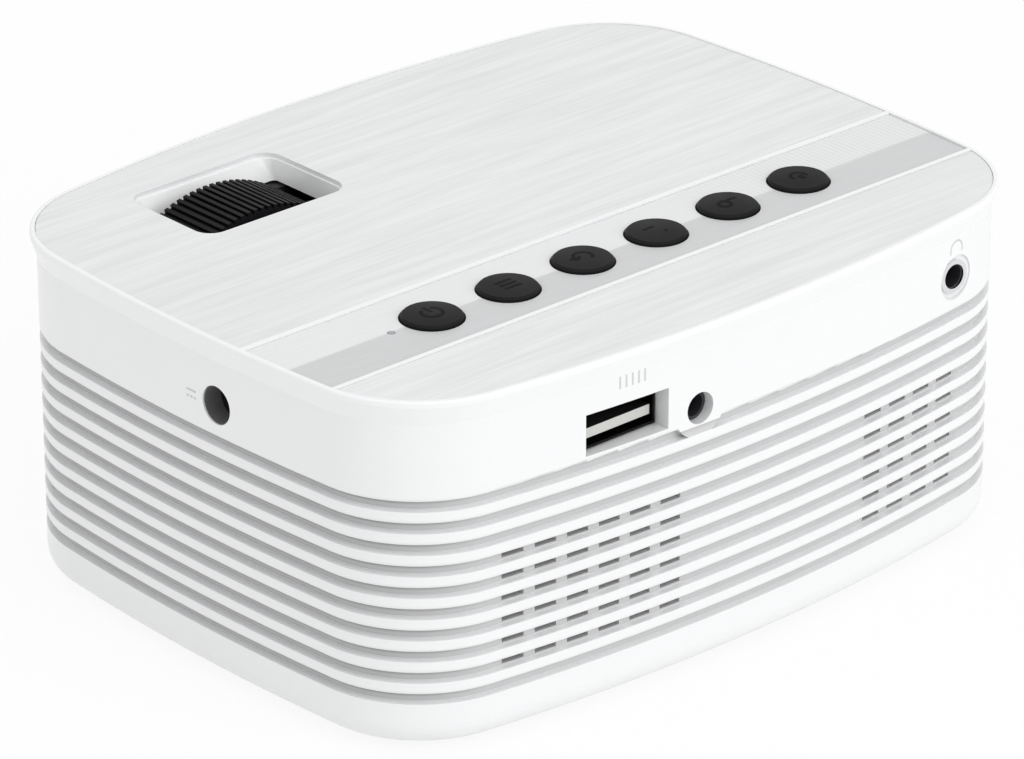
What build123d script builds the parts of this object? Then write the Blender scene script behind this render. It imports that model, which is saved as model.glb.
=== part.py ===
from build123d import *
import os
from math import cos, pi, radians, sin, sqrt

os.makedirs("parts", exist_ok=True)

# Pocket projector, millimetres. +Z up, front (lens side) at -Y, sockets on the rear wall at +Y,
# power inlet on the +X end. The origin is on the table, under the middle of the case.

# ---- Case ----
body_length = 126.0
body_depth = 98.6
case_height = 53.8
side_bow = 5.9              # how far each long wall bows out past its corners
end_bow = 2.6               # the same for the two short walls
corner_radius = 18.0
wall = 2.8
base_floor = 2.5
base_edge_round = 3.8
foot_height = 1.0
foot_radius = 5.0
foot_seat = 0.6
foot_end_inset = 18.0       # axes of the feet, in from the middles of the walls
foot_side_inset = 23.3
part_gap = 0.15             # between separate mouldings that don't move
lip_thickness = 1.2         # locating lips inside the body wall
lip_height = 2.0

# ---- Ribbed walls ----
first_groove_depth = 16.37  # first groove's middle, measured down from the top
groove_pitch = 3.29
groove_count = 10
groove_height = 1.35
groove_depth = 1.2
rib_lower_round = 0.8

# ---- Top cover and its inlays ----
cap_height = 3.8
cap_overhang = 0.95
cap_undercut = 2.9
cap_edge_round = 0.35
cap_thickness = 2.6
rim_width = 0.8
inlay_thickness = 0.8
inlay_step = 0.12           # the inlays lie this far below the rim
strip_step = 0.3            # and the button strip this far
rail_width = 0.8
front_rail_inset = 36.4     # rails of the key strip, in from the rear wall
rear_rail_inset = 18.2

# ---- Keys ----
key_count = 6
first_key_inset = 26.8      # in from the end wall
key_pitch = 14.26
key_inset = 27.1            # in from the rear wall
key_radius = 4.52
key_hole_gap = 0.25
key_proud = 0.62            # key rim above the strip
key_dome = 0.25
key_edge_round = 0.3
key_flange = 0.75
key_flange_thickness = 0.8
key_post_radius = 1.8
key_post_length = 0.6
key_travel = 0.35
switch_size = 6.0
switch_height = 2.4
stem_radius = 1.7
stem_height = 0.9
stem_depth = 0.7
stem_clearance = 0.1
key_board_width = 10.6
key_board_thickness = 1.2
key_board_margin = 11.2     # board past the outer keys' axes
key_boss_radius = 1.5
key_boss_inset = 2.0
status_light_step = 7.5     # from the first key
light_pipe_radius = 0.5
light_pipe_collar = 1.1
status_chip = 1.4
status_chip_height = 0.7

# ---- Focus window ----
window_shift = 1.95         # off the lens axis, towards the keys' far end
window_setting = 4.65       # window's middle behind the wheel's front face
window_length = 26.7
window_width = 18.7
window_corner = 3.0
window_depth = 4.0
window_end_slope = 0.6
window_side_slope = 2.3
window_floor_corner = 0.8
window_wall = 1.2

# ---- Lens group ----
lens_inset = 32.7           # lens axis, in from the end wall
ring_radius = 21.5
ring_proud = 0.2
ring_inset = 15.3           # wheel's front face, in from the front wall
ring_width = 11.8
ring_bore_gap = 0.3
ring_end_gap = 0.4
ring_room = 0.4             # round the wheel, where it passes the window's well
rib_count = 108
rib_depth = 0.55
barrel_radius = 14.5
barrel_inset = 4.3
barrel_length = 29.2
barrel_clearance = 0.08
barrel_bore = 11.4
lens_seat_radius = 12.6
lens_radius = 12.5
lens_edge = 2.5
lens_front_bulge = 1.9
lens_rear_bulge = 1.2
front_seat_depth = 6.4
rear_seat_depth = 6.2
retainer_bore = 11.3
retainer_width = 1.8
barrel_key_width = 3.0
barrel_key_height = 1.4
focus_travel = 2.1          # of the barrel, each way
key_slot_gap = 0.1
front_guide_thickness = 6.0
rear_guide_thickness = 4.0
guide_half_width = 18.6
bridge_thickness = 3.0
bridge_gap = 0.6
hood_radius = 16.2
hood_bore = 15.0
hood_flange = 1.3
hood_flange_thickness = 1.4
hood_edge_round = 0.7
bezel_radius = 17.4         # flat round the hood, which the ribs run into
bezel_set_back = 0.55

# ---- Light engine ----
engine_gap = 0.4            # from the rear lens guide
engine_length = 25.4
engine_half_width = 18.5
engine_half_height = 17.0
engine_wall = 1.8
engine_mouth_gap = 0.8
slot_depth = 0.8
slot_gap = 0.05
front_fresnel_depth = 4.6    # middles of the panes, behind the housing's front
lcd_depth = 14.3
rear_fresnel_depth = 20.1
heat_glass_depth = 23.4
fresnel_thickness = 1.5
lcd_thickness = 1.8
heat_glass_thickness = 1.1
cone_flange_thickness = 1.2
cone_mouth_half = 15.0
cone_tail_half = 5.6
cone_wall = 0.9
led_board_half = 10.0
led_board_thickness = 1.6
led_half = 4.5
led_thickness = 1.0
sink_width = 30.0
sink_height = 38.0
sink_base = 2.6
sink_fin = 1.0
sink_fin_count = 10
sink_depth = 9.2

# ---- Fan ----
fan_shift = 2.1             # off the lens axis
fan_inset = 15.5            # fan's front face, in from the rear wall
fan_size = 30.0
fan_depth = 8.0
fan_sink_gap = 0.6
fan_bore = 14.0
fan_corner = 3.0
fan_hub_radius = 6.5
fan_hub_depth = 5.6
fan_blade_count = 7
fan_blade_gap = 0.6
fan_blade_thickness = 0.9
fan_blade_pitch = 35.0
fan_plate = 0.9
fan_strut_width = 2.0
fan_hub_gap = 0.4
fan_shaft_radius = 1.5
fan_shaft_clearance = 0.05
fan_shaft_length = 4.2

# ---- Vent slots in the rear wall ----
slot_length = 3.65
slot_height = 0.75
slot_pitch = 5.51
first_slot_row = 4
slot_row_count = 6
fan_slot_count = 6
speaker_slot_count = 4

# ---- Speaker ----
speaker_radius = 13.5
speaker_depth = 8.0
speaker_wall = 1.0
speaker_end_inset = 28.3     # speaker's axis, in from the end wall
speaker_inset = 7.3         # its face, in from the rear wall
magnet_radius = 7.5
magnet_depth = 4.5
cone_thickness = 0.5
cone_dip = 4.0
cone_roll = 1.5
cradle_width = 12.0

# ---- Boards and sockets ----
board_thickness = 1.6
board_drop = 15.6           # board's upper face below the top
board_end_inset = 13.0
board_lens_gap = 22.3       # from the lens axis to the board's edge
board_front_inset = 15.3
board_rear_wall_inset = 7.6
arm_reach = 9.7             # past the axis of the USB socket
arm_inset = 14.5
board_post_radius = 3.0
board_post_inset = 5.0
board_rear_inset = 13.8
chip_height = 1.4
chips = [(-25.0, -9.0, 14.0), (-5.0, -9.0, 8.0), (-32.0, 11.0, 7.0)]      # x, y and side
capacitor_radius = 3.2
capacitor_height = 6.4
capacitor_places = [(-12.0, 14.0), (-4.0, 14.0), (-18.0, 25.0)]
usb_inset = 39.7            # in from the end wall
usb_drop = 11.35            # socket axis below the top
usb_cut_width = 14.6
usb_cut_height = 6.3
usb_shell_width = 14.0
usb_shell_height = 5.8
usb_shell_wall = 0.4
usb_wall_inset = 2.9
usb_depth = 12.8
usb_tongue_width = 12.6
usb_tongue_thickness = 1.5
usb_tongue_drop = 0.75
usb_tongue_set_back = 0.4
usb_back_block = 3.0
jack_bore = 1.8
jack_depth = 12.0
jack_width = 7.0
av_step = 13.2              # from the USB socket
av_drop = 13.1
av_hole = 2.4
av_boss_radius = 4.5
av_body_half = 2.5
phone_inset = 19.3          # in from the other end wall
phone_drop = 10.3
phone_hole = 3.45
phone_sink = 1.2            # depth of the wide counterbore round the socket
phone_inner_hole = 2.6
phone_ring_width = 0.45
phone_body_half = 3.4
dc_y = 7.1
dc_drop = 10.6
dc_hole = 2.9
dc_bore = 2.85
dc_bore_depth = 8.8
dc_pin_radius = 1.0
dc_pin_tip_gap = 1.2
dc_body_half = 4.5
dc_body_depth = 10.6
dc_board_half = 8.0
dc_ledge_thickness = 2.6
dc_ledge_width = 4.0

# ---- Fasteners ----
post_end_inset = 9.7
post_side_inset = 14.1
post_radius = 4.0
post_height = 11.0
tab_thickness = 3.5
pilot_radius = 1.1
shank_radius = 1.1
shank_hole = 1.5
head_radius = 2.4
head_height = 1.7
head_clearance = 0.3
base_screw_length = 11.0
cap_screw_length = 6.0
board_screw_length = 5.0

# ---- Air intake in the underside ----
intake_x = -20.0
intake_count = 7
intake_length = 24.0
intake_width = 1.8
intake_pitch = 4.0

# ---- Heights and places that follow from the sizes above ----
half_length = body_length / 2
half_depth = body_depth / 2
foot_x = half_length - foot_end_inset
foot_y = half_depth - foot_side_inset
post_x = half_length - post_end_inset
post_y = half_depth - post_side_inset
front_rail_y = half_depth - front_rail_inset
rear_rail_y = half_depth - rear_rail_inset
first_key_x = half_length - first_key_inset
key_y = half_depth - key_inset
status_light_x = first_key_x + status_light_step
lens_x = half_length - lens_inset
ring_front_y = ring_inset - half_depth
barrel_front_y = barrel_inset - half_depth
window_centre_x = lens_x - window_shift
window_centre_y = ring_front_y + window_setting
fan_x = lens_x - fan_shift
speaker_x = speaker_end_inset - half_length
speaker_face_y = half_depth - speaker_inset
usb_x = half_length - usb_inset
usb_front_y = half_depth - usb_wall_inset
av_x = usb_x - av_step
phone_x = phone_inset - half_length
board_left = board_end_inset - half_length
board_right = lens_x - board_lens_gap
board_front = board_front_inset - half_depth
board_rear = half_depth - board_rear_wall_inset
arm_right = usb_x + arm_reach
arm_front = half_depth - arm_inset
top_z = foot_height + case_height
cap_base_z = top_z - cap_height
cover_under_z = top_z - cap_thickness
pillar_base_z = cap_base_z - lip_height - head_clearance
floor_z = foot_height + base_floor
joint_z = top_z - first_groove_depth - (groove_count - 1) * groove_pitch - groove_height / 2
lens_z = top_z + ring_proud - ring_radius
ring_rear_y = ring_front_y + ring_width
front_guide_y = ring_front_y - ring_end_gap - front_guide_thickness
rear_guide_y = ring_rear_y + ring_end_gap
rear_guide_back_y = rear_guide_y + rear_guide_thickness
guide_top_z = top_z - window_depth - ring_end_gap
bridge_top_z = lens_z - ring_radius - bridge_gap
bridge_z = bridge_top_z - bridge_thickness
engine_y = rear_guide_back_y + engine_gap
engine_rear_y = engine_y + engine_length
fan_y = half_depth - fan_inset
sink_y = fan_y - fan_sink_gap - sink_depth
led_board_y = sink_y - led_board_thickness
cone_tail_y = led_board_y
cone_length = cone_tail_y - engine_rear_y
fan_z = top_z - first_groove_depth - (first_slot_row - 1 + (slot_row_count - 1) / 2) * groove_pitch
speaker_z = fan_z
board_top = top_z - board_drop
board_z = board_top - board_thickness
switch_z = (cover_under_z - key_flange_thickness - key_post_length - stem_height - switch_height)
key_board_z = switch_z - key_board_thickness
key_board_right = first_key_x + key_board_margin + key_boss_inset
key_board_left = first_key_x - (key_count - 1) * key_pitch - key_board_margin
key_board_length = key_board_right - key_board_left
key_board_x = (key_board_right + key_board_left) / 2
strip_z = top_z - strip_step
usb_z = top_z - usb_drop
av_z = top_z - av_drop
phone_z = top_z - phone_drop
dc_z = top_z - dc_drop
dc_board_z = dc_z - dc_body_half - board_thickness
hood_front_y = -half_depth - cap_overhang

key_places = [(first_key_x - i * key_pitch, key_y) for i in range(key_count)]
post_places = [(sx * post_x, sy * post_y) for sx in (-1, 1) for sy in (-1, 1)]
board_posts = [(x, y) for x in (board_left + board_post_inset, board_right - board_post_inset)
               for y in (board_front + board_post_inset, board_rear - board_rear_inset)]
key_bosses = [(key_board_right - key_boss_inset, key_y), (key_board_left + key_boss_inset, key_y),
              ((key_places[2][0] + key_places[3][0]) / 2, key_y)]

side_radius = ((half_length - end_bow) ** 2 + side_bow ** 2) / (2 * side_bow)
end_radius = ((half_depth - side_bow) ** 2 + end_bow ** 2) / (2 * end_bow)


def wall_y(x, inset=0.0):
    """Y of the rear wall's face above x, or of a face inset from it."""
    return half_depth - side_radius + sqrt((side_radius - inset) ** 2 - x ** 2)


def wall_x(y, inset=0.0):
    """X of the +X end wall's face beside y, or of a face inset from it."""
    return half_length - end_radius + sqrt((end_radius - inset) ** 2 - y ** 2)


def wall_corner(inset):
    """Where the rear and end walls, both inset, would meet without the round corner."""
    low, high = 0.0, half_depth
    for _ in range(60):
        y = (low + high) / 2
        x = wall_x(y, inset)
        low, high = (y, high) if y < wall_y(x, inset) else (low, y)
    return x, y


dc_front_x = wall_x(dc_y + dc_board_half, wall) - part_gap


def dome(radius, rise, at):
    """Height of a shallow dome above its rim, at a distance from its middle."""
    sphere = (radius ** 2 + rise ** 2) / (2 * rise)
    return sqrt(sphere ** 2 - at ** 2) - (sphere - rise)


def across(x, y, z):
    """Plane square to the optical axis, its normal towards the front."""
    return Plane((x, y, z), x_dir=(1, 0, 0), z_dir=(0, -1, 0))


def case_outline(inset):
    """The case in plan: four bowed walls and round corners, drawn inset from the outer face."""
    corner_x, corner_y = wall_corner(inset)
    with BuildSketch() as outline:
        with BuildLine():
            ThreePointArc((-corner_x, corner_y), (0, half_depth - inset), (corner_x, corner_y))
            ThreePointArc((corner_x, corner_y), (half_length - inset, 0), (corner_x, -corner_y))
            ThreePointArc((corner_x, -corner_y), (0, inset - half_depth), (-corner_x, -corner_y))
            ThreePointArc((-corner_x, -corner_y), (inset - half_length, 0), (-corner_x, corner_y))
        make_face()
        fillet(outline.vertices(), corner_radius - inset)
    return outline.sketch


def case_band(outer_inset, inner_inset):
    """Ring between two insets of the case outline."""
    with BuildSketch() as band:
        add(case_outline(outer_inset))
        add(case_outline(inner_inset), mode=Mode.SUBTRACT)
    return band.sketch


def inlay_area(low_y, high_y, gap):
    """Part of the top inside the rim between two lines across the case, less a gap all round."""
    with BuildSketch() as area:
        add(case_outline(rim_width - cap_overhang + gap))
        with Locations((0, (low_y + high_y) / 2)):
            Rectangle(body_length + body_depth, high_y - low_y - 2 * gap, mode=Mode.INTERSECT)
    return area.sketch


def add_block(low, high, mode=Mode.ADD):
    """Add or cut an upright block between two opposite corners."""
    middle = Plane(((low[0] + high[0]) / 2, (low[1] + high[1]) / 2, low[2]))
    with BuildSketch(middle) as base:
        Rectangle(high[0] - low[0], high[1] - low[1])
    extrude(base.sketch, amount=high[2] - low[2], mode=mode)


def add_round(x, y, low_z, high_z, radius, mode=Mode.ADD):
    """Add or cut an upright cylinder."""
    with BuildSketch(Plane((x, y, low_z))) as disc:
        Circle(radius)
    extrude(disc.sketch, amount=high_z - low_z, mode=mode)


def add_tube_y(x, z, front_y, rear_y, radius, mode=Mode.ADD):
    """Add or cut a cylinder that lies along the depth of the case."""
    with BuildSketch(across(x, rear_y, z)) as disc:
        Circle(radius)
    extrude(disc.sketch, amount=rear_y - front_y, mode=mode)


def save(piece, name):
    """Label a finished piece and write it under its name."""
    piece.part.label = name
    export_step(piece.part, f"parts/{name}.step")


inlay_edge = body_depth
front_inlay = (-inlay_edge, front_rail_y - rail_width / 2)
strip_inlay = (front_rail_y + rail_width / 2, rear_rail_y - rail_width / 2)
rear_inlay = (rear_rail_y + rail_width / 2, inlay_edge)

# ---- Top cover: cap with a rim, three shallow beds, the focus window and the key holes ----
with BuildPart() as top_cover:
    with BuildSketch(Plane.XY.offset(cap_base_z)):
        add(case_outline(-cap_overhang))
    extrude(amount=cap_height)
    top_face = top_cover.faces().sort_by(Axis.Z)[-1]
    bottom_face = top_cover.faces().sort_by(Axis.Z)[0]
    chamfer(bottom_face.edges(), length=cap_overhang, length2=cap_undercut, reference=bottom_face)
    fillet(top_face.edges(), cap_edge_round)
    with BuildSketch(Plane.XY.offset(cap_base_z)):
        add(case_outline(wall + part_gap + lip_thickness))
    extrude(amount=cap_height - cap_thickness, mode=Mode.SUBTRACT)
    with BuildSketch(Plane.XY.offset(cap_base_z - lip_height)):
        add(case_band(wall + part_gap, wall + part_gap + lip_thickness))
    extrude(amount=lip_height + cap_edge_round)
    add_tube_y(lens_x, lens_z, hood_front_y, front_guide_y, hood_radius + part_gap, Mode.SUBTRACT)
    # bosses: window well, screw pillars and key board bosses
    with BuildSketch(Plane((window_centre_x, window_centre_y, top_z - window_depth))):
        RectangleRounded(window_length + 2 * window_wall, window_width + 2 * window_wall,
                         window_corner + window_wall)
    extrude(amount=window_depth - inlay_thickness - inlay_step)
    with BuildSketch(Plane.XY.offset(pillar_base_z)):
        with Locations(*post_places):
            Circle(post_radius)
        add(case_outline(wall + part_gap), mode=Mode.INTERSECT)
    extrude(amount=cover_under_z - pillar_base_z)
    for x, y in key_bosses:
        add_round(x, y, switch_z, cover_under_z, key_boss_radius)
    # beds of the inlays
    for (low_y, high_y), step in ((front_inlay, inlay_step), (strip_inlay, strip_step),
                                  (rear_inlay, inlay_step)):
        with BuildSketch(Plane.XY.offset(top_z - step - inlay_thickness)):
            add(inlay_area(low_y, high_y, 0))
        extrude(amount=inlay_thickness + step, mode=Mode.SUBTRACT)
    # funnel of the focus window
    with BuildSketch(Plane((window_centre_x, window_centre_y, top_z))):
        RectangleRounded(window_length, window_width, window_corner)
    with BuildSketch(Plane((window_centre_x, window_centre_y, top_z - window_depth))):
        RectangleRounded(window_length - 2 * window_end_slope, window_width - 2 * window_side_slope,
                         window_floor_corner)
    loft(mode=Mode.SUBTRACT)
    add_tube_y(lens_x, lens_z, ring_front_y - ring_end_gap, ring_rear_y + ring_end_gap,
               ring_radius + ring_room, Mode.SUBTRACT)
    # holes
    for x, y in key_places:
        add_round(x, y, cover_under_z, top_z, key_radius + key_hole_gap, Mode.SUBTRACT)
    add_round(status_light_x, key_y, cover_under_z, top_z, light_pipe_radius + stem_clearance, Mode.SUBTRACT)
    for x, y in post_places:
        add_round(x, y, pillar_base_z, cover_under_z, pilot_radius, Mode.SUBTRACT)
    for x, y in key_bosses:
        add_round(x, y, switch_z, cover_under_z, pilot_radius - key_hole_gap, Mode.SUBTRACT)
save(top_cover, "top_cover")

# ---- Inlays ----
with BuildPart() as front_plate:
    with BuildSketch(Plane.XY.offset(top_z - inlay_step - inlay_thickness)):
        add(inlay_area(*front_inlay, part_gap / 2))
        with Locations((window_centre_x, window_centre_y)):
            RectangleRounded(window_length + part_gap, window_width + part_gap, window_corner,
                             mode=Mode.SUBTRACT)
    extrude(amount=inlay_thickness)
save(front_plate, "front_plate")

with BuildPart() as rear_plate:
    with BuildSketch(Plane.XY.offset(top_z - inlay_step - inlay_thickness)):
        add(inlay_area(*rear_inlay, part_gap / 2))
    extrude(amount=inlay_thickness)
save(rear_plate, "rear_plate")

with BuildPart() as button_strip:
    with BuildSketch(Plane.XY.offset(strip_z - inlay_thickness)):
        add(inlay_area(*strip_inlay, part_gap / 2))
        with Locations(*key_places):
            Circle(key_radius + key_hole_gap, mode=Mode.SUBTRACT)
        with Locations((status_light_x, key_y)):
            Circle(light_pipe_radius + stem_clearance, mode=Mode.SUBTRACT)
    extrude(amount=inlay_thickness)
save(button_strip, "button_strip")

# ---- Body shell: a tube of ribs with the socket openings, vents and lens port ----
groove_tops = [top_z - first_groove_depth - i * groove_pitch + groove_height / 2
               for i in range(groove_count)]
rib_height = groove_pitch - groove_height

with BuildPart() as rib:
    with BuildSketch():
        add(case_outline(0))
    extrude(amount=rib_height)
    fillet(rib.faces().sort_by(Axis.Z)[0].edges(), rib_lower_round)

with BuildPart() as av_boss:
    add_tube_y(av_x, av_z, wall_y(av_x, wall), half_depth, av_boss_radius)
    with BuildSketch(Plane.XY.offset(av_z - av_boss_radius)):
        add(case_outline(0))
    extrude(amount=2 * av_boss_radius, mode=Mode.INTERSECT)

with BuildPart() as body_shell:
    with BuildSketch(Plane.XY.offset(groove_tops[0])):
        add(case_outline(0))
    extrude(amount=cap_base_z - groove_tops[0])
    fillet(body_shell.faces().sort_by(Axis.Z)[0].edges(), rib_lower_round)
    with BuildSketch(Plane.XY.offset(joint_z)):
        add(case_outline(groove_depth))
    extrude(amount=cap_base_z - joint_z)
    with Locations(*[(0, 0, top) for top in groove_tops[1:]]):
        add(rib.part)
    add(av_boss.part)
    bezel_rear_y = -wall_y(lens_x + bezel_radius, wall)
    add_tube_y(lens_x, lens_z, hood_front_y + bezel_set_back, bezel_rear_y, bezel_radius)
    with BuildSketch(Plane.XY.offset(joint_z)):
        add(case_outline(wall))
    extrude(amount=cap_base_z - joint_z, mode=Mode.SUBTRACT)
    # screw posts below, tabs above, and the ledge of the power board
    for x, y in post_places:
        add_round(x, y, joint_z, joint_z + post_height, post_radius)
        add_round(x, y, joint_z, joint_z + post_height, pilot_radius, Mode.SUBTRACT)
        add_round(x, y, pillar_base_z - tab_thickness, pillar_base_z, post_radius)
        add_round(x, y, pillar_base_z - tab_thickness, pillar_base_z, shank_hole, Mode.SUBTRACT)
    ledge_x = dc_front_x + part_gap + wall / 2
    add_block((dc_front_x - dc_ledge_width, dc_y - dc_board_half, dc_board_z - dc_ledge_thickness),
              (ledge_x, dc_y + dc_board_half, dc_board_z))
    # sockets on the rear wall
    cut_front = wall_y(phone_x, wall) - wall
    add_block((usb_x - usb_cut_width / 2, usb_front_y - wall - usb_shell_wall, usb_z - usb_cut_height / 2),
              (usb_x + usb_cut_width / 2, half_depth, usb_z + usb_cut_height / 2), Mode.SUBTRACT)
    add_tube_y(av_x, av_z, cut_front, half_depth, av_hole, Mode.SUBTRACT)
    add_tube_y(phone_x, phone_z, cut_front, half_depth, phone_inner_hole, Mode.SUBTRACT)
    add_tube_y(phone_x, phone_z, wall_y(phone_x + phone_hole) - phone_sink, half_depth, phone_hole,
               Mode.SUBTRACT)
    # power inlet on the end wall
    with BuildSketch(Plane((dc_front_x - wall, dc_y, dc_z), x_dir=(0, 1, 0), z_dir=(1, 0, 0))):
        Circle(dc_hole)
    extrude(amount=2 * wall + part_gap + wall, mode=Mode.SUBTRACT)
    # vents, one row in each of six grooves
    for centre, count in ((fan_x, fan_slot_count), (speaker_x, speaker_slot_count)):
        with BuildSketch(across(centre, half_depth, fan_z)):
            with GridLocations(slot_pitch, groove_pitch, count, slot_row_count):
                Rectangle(slot_length, slot_height)
        extrude(amount=half_depth - cut_front, mode=Mode.SUBTRACT)
    # lens port in the front wall
    add_tube_y(lens_x, lens_z, hood_front_y, front_guide_y, hood_radius + part_gap, Mode.SUBTRACT)
save(body_shell, "body_shell")

# ---- Base cover: dished floor with a lip, bosses and the stands of what it carries ----
with BuildPart() as base_cover:
    with BuildSketch(Plane.XY.offset(foot_height)):
        add(case_outline(0))
    extrude(amount=joint_z - foot_height)
    fillet(base_cover.faces().sort_by(Axis.Z)[0].edges(), base_edge_round)
    with BuildSketch(Plane.XY.offset(floor_z)):
        add(case_outline(wall))
    extrude(amount=joint_z - floor_z, mode=Mode.SUBTRACT)
    with BuildSketch(Plane.XY.offset(joint_z - lip_height)):
        add(case_band(wall - part_gap, wall + part_gap + lip_thickness))
    extrude(amount=lip_height)
    with BuildSketch(Plane.XY.offset(joint_z)):
        add(case_band(wall + part_gap, wall + part_gap + lip_thickness))
    extrude(amount=lip_height)
    for x, y in post_places:
        add_round(x, y, joint_z, joint_z + lip_height, post_radius + part_gap, Mode.SUBTRACT)
        add_round(x, y, floor_z, joint_z, post_radius)
        add_round(x, y, foot_height, joint_z, shank_hole, Mode.SUBTRACT)
        add_round(x, y, foot_height, floor_z + head_height, head_radius + head_clearance, Mode.SUBTRACT)
    for x, y in board_posts:
        add_round(x, y, floor_z, board_z, board_post_radius)
        add_round(x, y, board_z - board_screw_length, board_z, pilot_radius, Mode.SUBTRACT)
    # rails under the lens mount, the heat sink and the fan, and the speaker's cradle
    for side in (-1, 1):
        rail_x = lens_x + side * guide_half_width / 2
        add_block((rail_x - wall / 2, front_guide_y, floor_z),
                  (rail_x + wall / 2, rear_guide_back_y, bridge_z))
    sink_z = lens_z + led_board_half - sink_height + part_gap
    add_block((fan_x - sink_width / 2, sink_y, floor_z), (fan_x + sink_width / 2, sink_y + sink_base, sink_z))
    add_block((fan_x - fan_size / 2, fan_y, floor_z),
              (fan_x + fan_size / 2, fan_y + fan_depth / 2, fan_z - fan_size / 2))
    add_block((speaker_x - cradle_width / 2, speaker_face_y - speaker_depth / 2, floor_z),
              (speaker_x + cradle_width / 2, speaker_face_y - speaker_wall, speaker_z - speaker_radius / 2))
    add_tube_y(speaker_x, speaker_z, speaker_face_y - speaker_depth, speaker_face_y,
               speaker_radius + part_gap, Mode.SUBTRACT)
    # seats of the feet and the air intake
    with BuildSketch(Plane.XY.offset(foot_height)):
        with GridLocations(2 * foot_x, 2 * foot_y, 2, 2):
            Circle(foot_radius + part_gap)
    extrude(amount=foot_seat, mode=Mode.SUBTRACT)
    with BuildSketch(Plane.XY.offset(foot_height)):
        with Locations((intake_x, 0)):
            with GridLocations(0, intake_pitch, 1, intake_count):
                SlotOverall(intake_length, intake_width)
    extrude(amount=base_floor, mode=Mode.SUBTRACT)
save(base_cover, "base_cover")

with BuildPart() as rubber_feet:
    with BuildSketch(Plane.XY):
        with GridLocations(2 * foot_x, 2 * foot_y, 2, 2):
            Circle(foot_radius)
    extrude(amount=foot_height + foot_seat)
    fillet(rubber_feet.faces().filter_by(Axis.Z).group_by(Axis.Z)[0].edges(), foot_seat / 2)
save(rubber_feet, "rubber_feet")


def screw_group(name, places, seat_z, length, points_up):
    """Pan-head screws in one node; the heads bear on seat_z from below or from above."""
    with BuildPart() as screws:
        for x, y in places:
            if points_up:
                add_round(x, y, seat_z - head_height, seat_z, head_radius)
                add_round(x, y, seat_z, seat_z + length, shank_radius)
            else:
                add_round(x, y, seat_z, seat_z + head_height, head_radius)
                add_round(x, y, seat_z - length, seat_z, shank_radius)
    save(screws, name)


screw_group("base_screws", post_places, floor_z + head_height, base_screw_length, True)
screw_group("cap_screws", post_places, pillar_base_z - tab_thickness, cap_screw_length, True)
screw_group("board_screws", board_posts, board_top, board_screw_length - head_clearance, False)

# ---- Keys, their switches and the key board ----
key_names = ["power", "menu", "back", "enter", "minus", "plus"]
key_post_bottom = cover_under_z - key_flange_thickness - key_post_length
for key_name, (x, y) in zip(key_names, key_places):
    rim_z = strip_z + key_proud
    with BuildPart() as key:
        with BuildSketch(Plane((x, y, 0), x_dir=(1, 0, 0), z_dir=(0, -1, 0))):
            with BuildLine():
                Polyline((0, rim_z + key_dome), (0, key_post_bottom), (key_post_radius, key_post_bottom),
                         (key_post_radius, cover_under_z - key_flange_thickness),
                         (key_radius + key_flange, cover_under_z - key_flange_thickness),
                         (key_radius + key_flange, cover_under_z), (key_radius, cover_under_z),
                         (key_radius, rim_z - key_edge_round), (key_radius - key_edge_round, rim_z))
                dome_radius = key_radius - key_edge_round
                half = dome_radius / 2
                ThreePointArc((dome_radius, rim_z), (half, rim_z + dome(dome_radius, key_dome, half)),
                              (0, rim_z + key_dome))
            make_face()
        revolve(axis=Axis((x, y, 0), (0, 0, 1)))
    save(key, f"key_{key_name}")
    with BuildPart() as stem:
        add_round(x, y, key_post_bottom - stem_height - stem_depth, key_post_bottom, stem_radius)
    save(stem, f"switch_stem_{key_name}")

with BuildPart() as switch_bodies:
    with BuildSketch(Plane.XY.offset(switch_z)):
        with Locations(*key_places):
            Rectangle(switch_size, switch_size)
    extrude(amount=switch_height)
    with BuildSketch(Plane.XY.offset(switch_z + switch_height - stem_depth - key_travel - stem_clearance)):
        with Locations(*key_places):
            Circle(stem_radius + stem_clearance)
    extrude(amount=stem_depth + key_travel + stem_clearance, mode=Mode.SUBTRACT)
save(switch_bodies, "switch_bodies")

with BuildPart() as key_board:
    with BuildSketch(Plane((key_board_x, key_y, key_board_z))):
        Rectangle(key_board_length, key_board_width)
    extrude(amount=key_board_thickness)
    for x, y in key_bosses:
        add_round(x, y, key_board_z, switch_z, shank_hole - stem_clearance, Mode.SUBTRACT)
save(key_board, "key_board")

with BuildPart() as status_led:
    add_block((status_light_x - status_chip / 2, key_y - status_chip / 2, switch_z),
              (status_light_x + status_chip / 2, key_y + status_chip / 2, switch_z + status_chip_height))
save(status_led, "status_led")

with BuildPart() as light_pipe:
    pipe_z = switch_z + status_chip_height + stem_clearance
    add_round(status_light_x, key_y, pipe_z, strip_z, light_pipe_radius)
    add_round(status_light_x, key_y, cover_under_z - key_flange_thickness, cover_under_z, light_pipe_collar)
save(light_pipe, "light_pipe")

# ---- Lens: knurled focus ring on a keyed barrel with two lenses ----
with BuildPart() as focus_ring:
    rib_step = 360 / rib_count
    rib_width = 2 * pi * ring_radius / rib_count / 2
    with BuildSketch(across(lens_x, ring_rear_y, lens_z)):
        Circle(ring_radius)
        with PolarLocations(ring_radius, rib_count):
            Rectangle(2 * rib_depth, rib_width, mode=Mode.SUBTRACT)
        Circle(barrel_radius + ring_bore_gap, mode=Mode.SUBTRACT)
    extrude(amount=ring_width)
save(focus_ring, "focus_ring")

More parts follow.
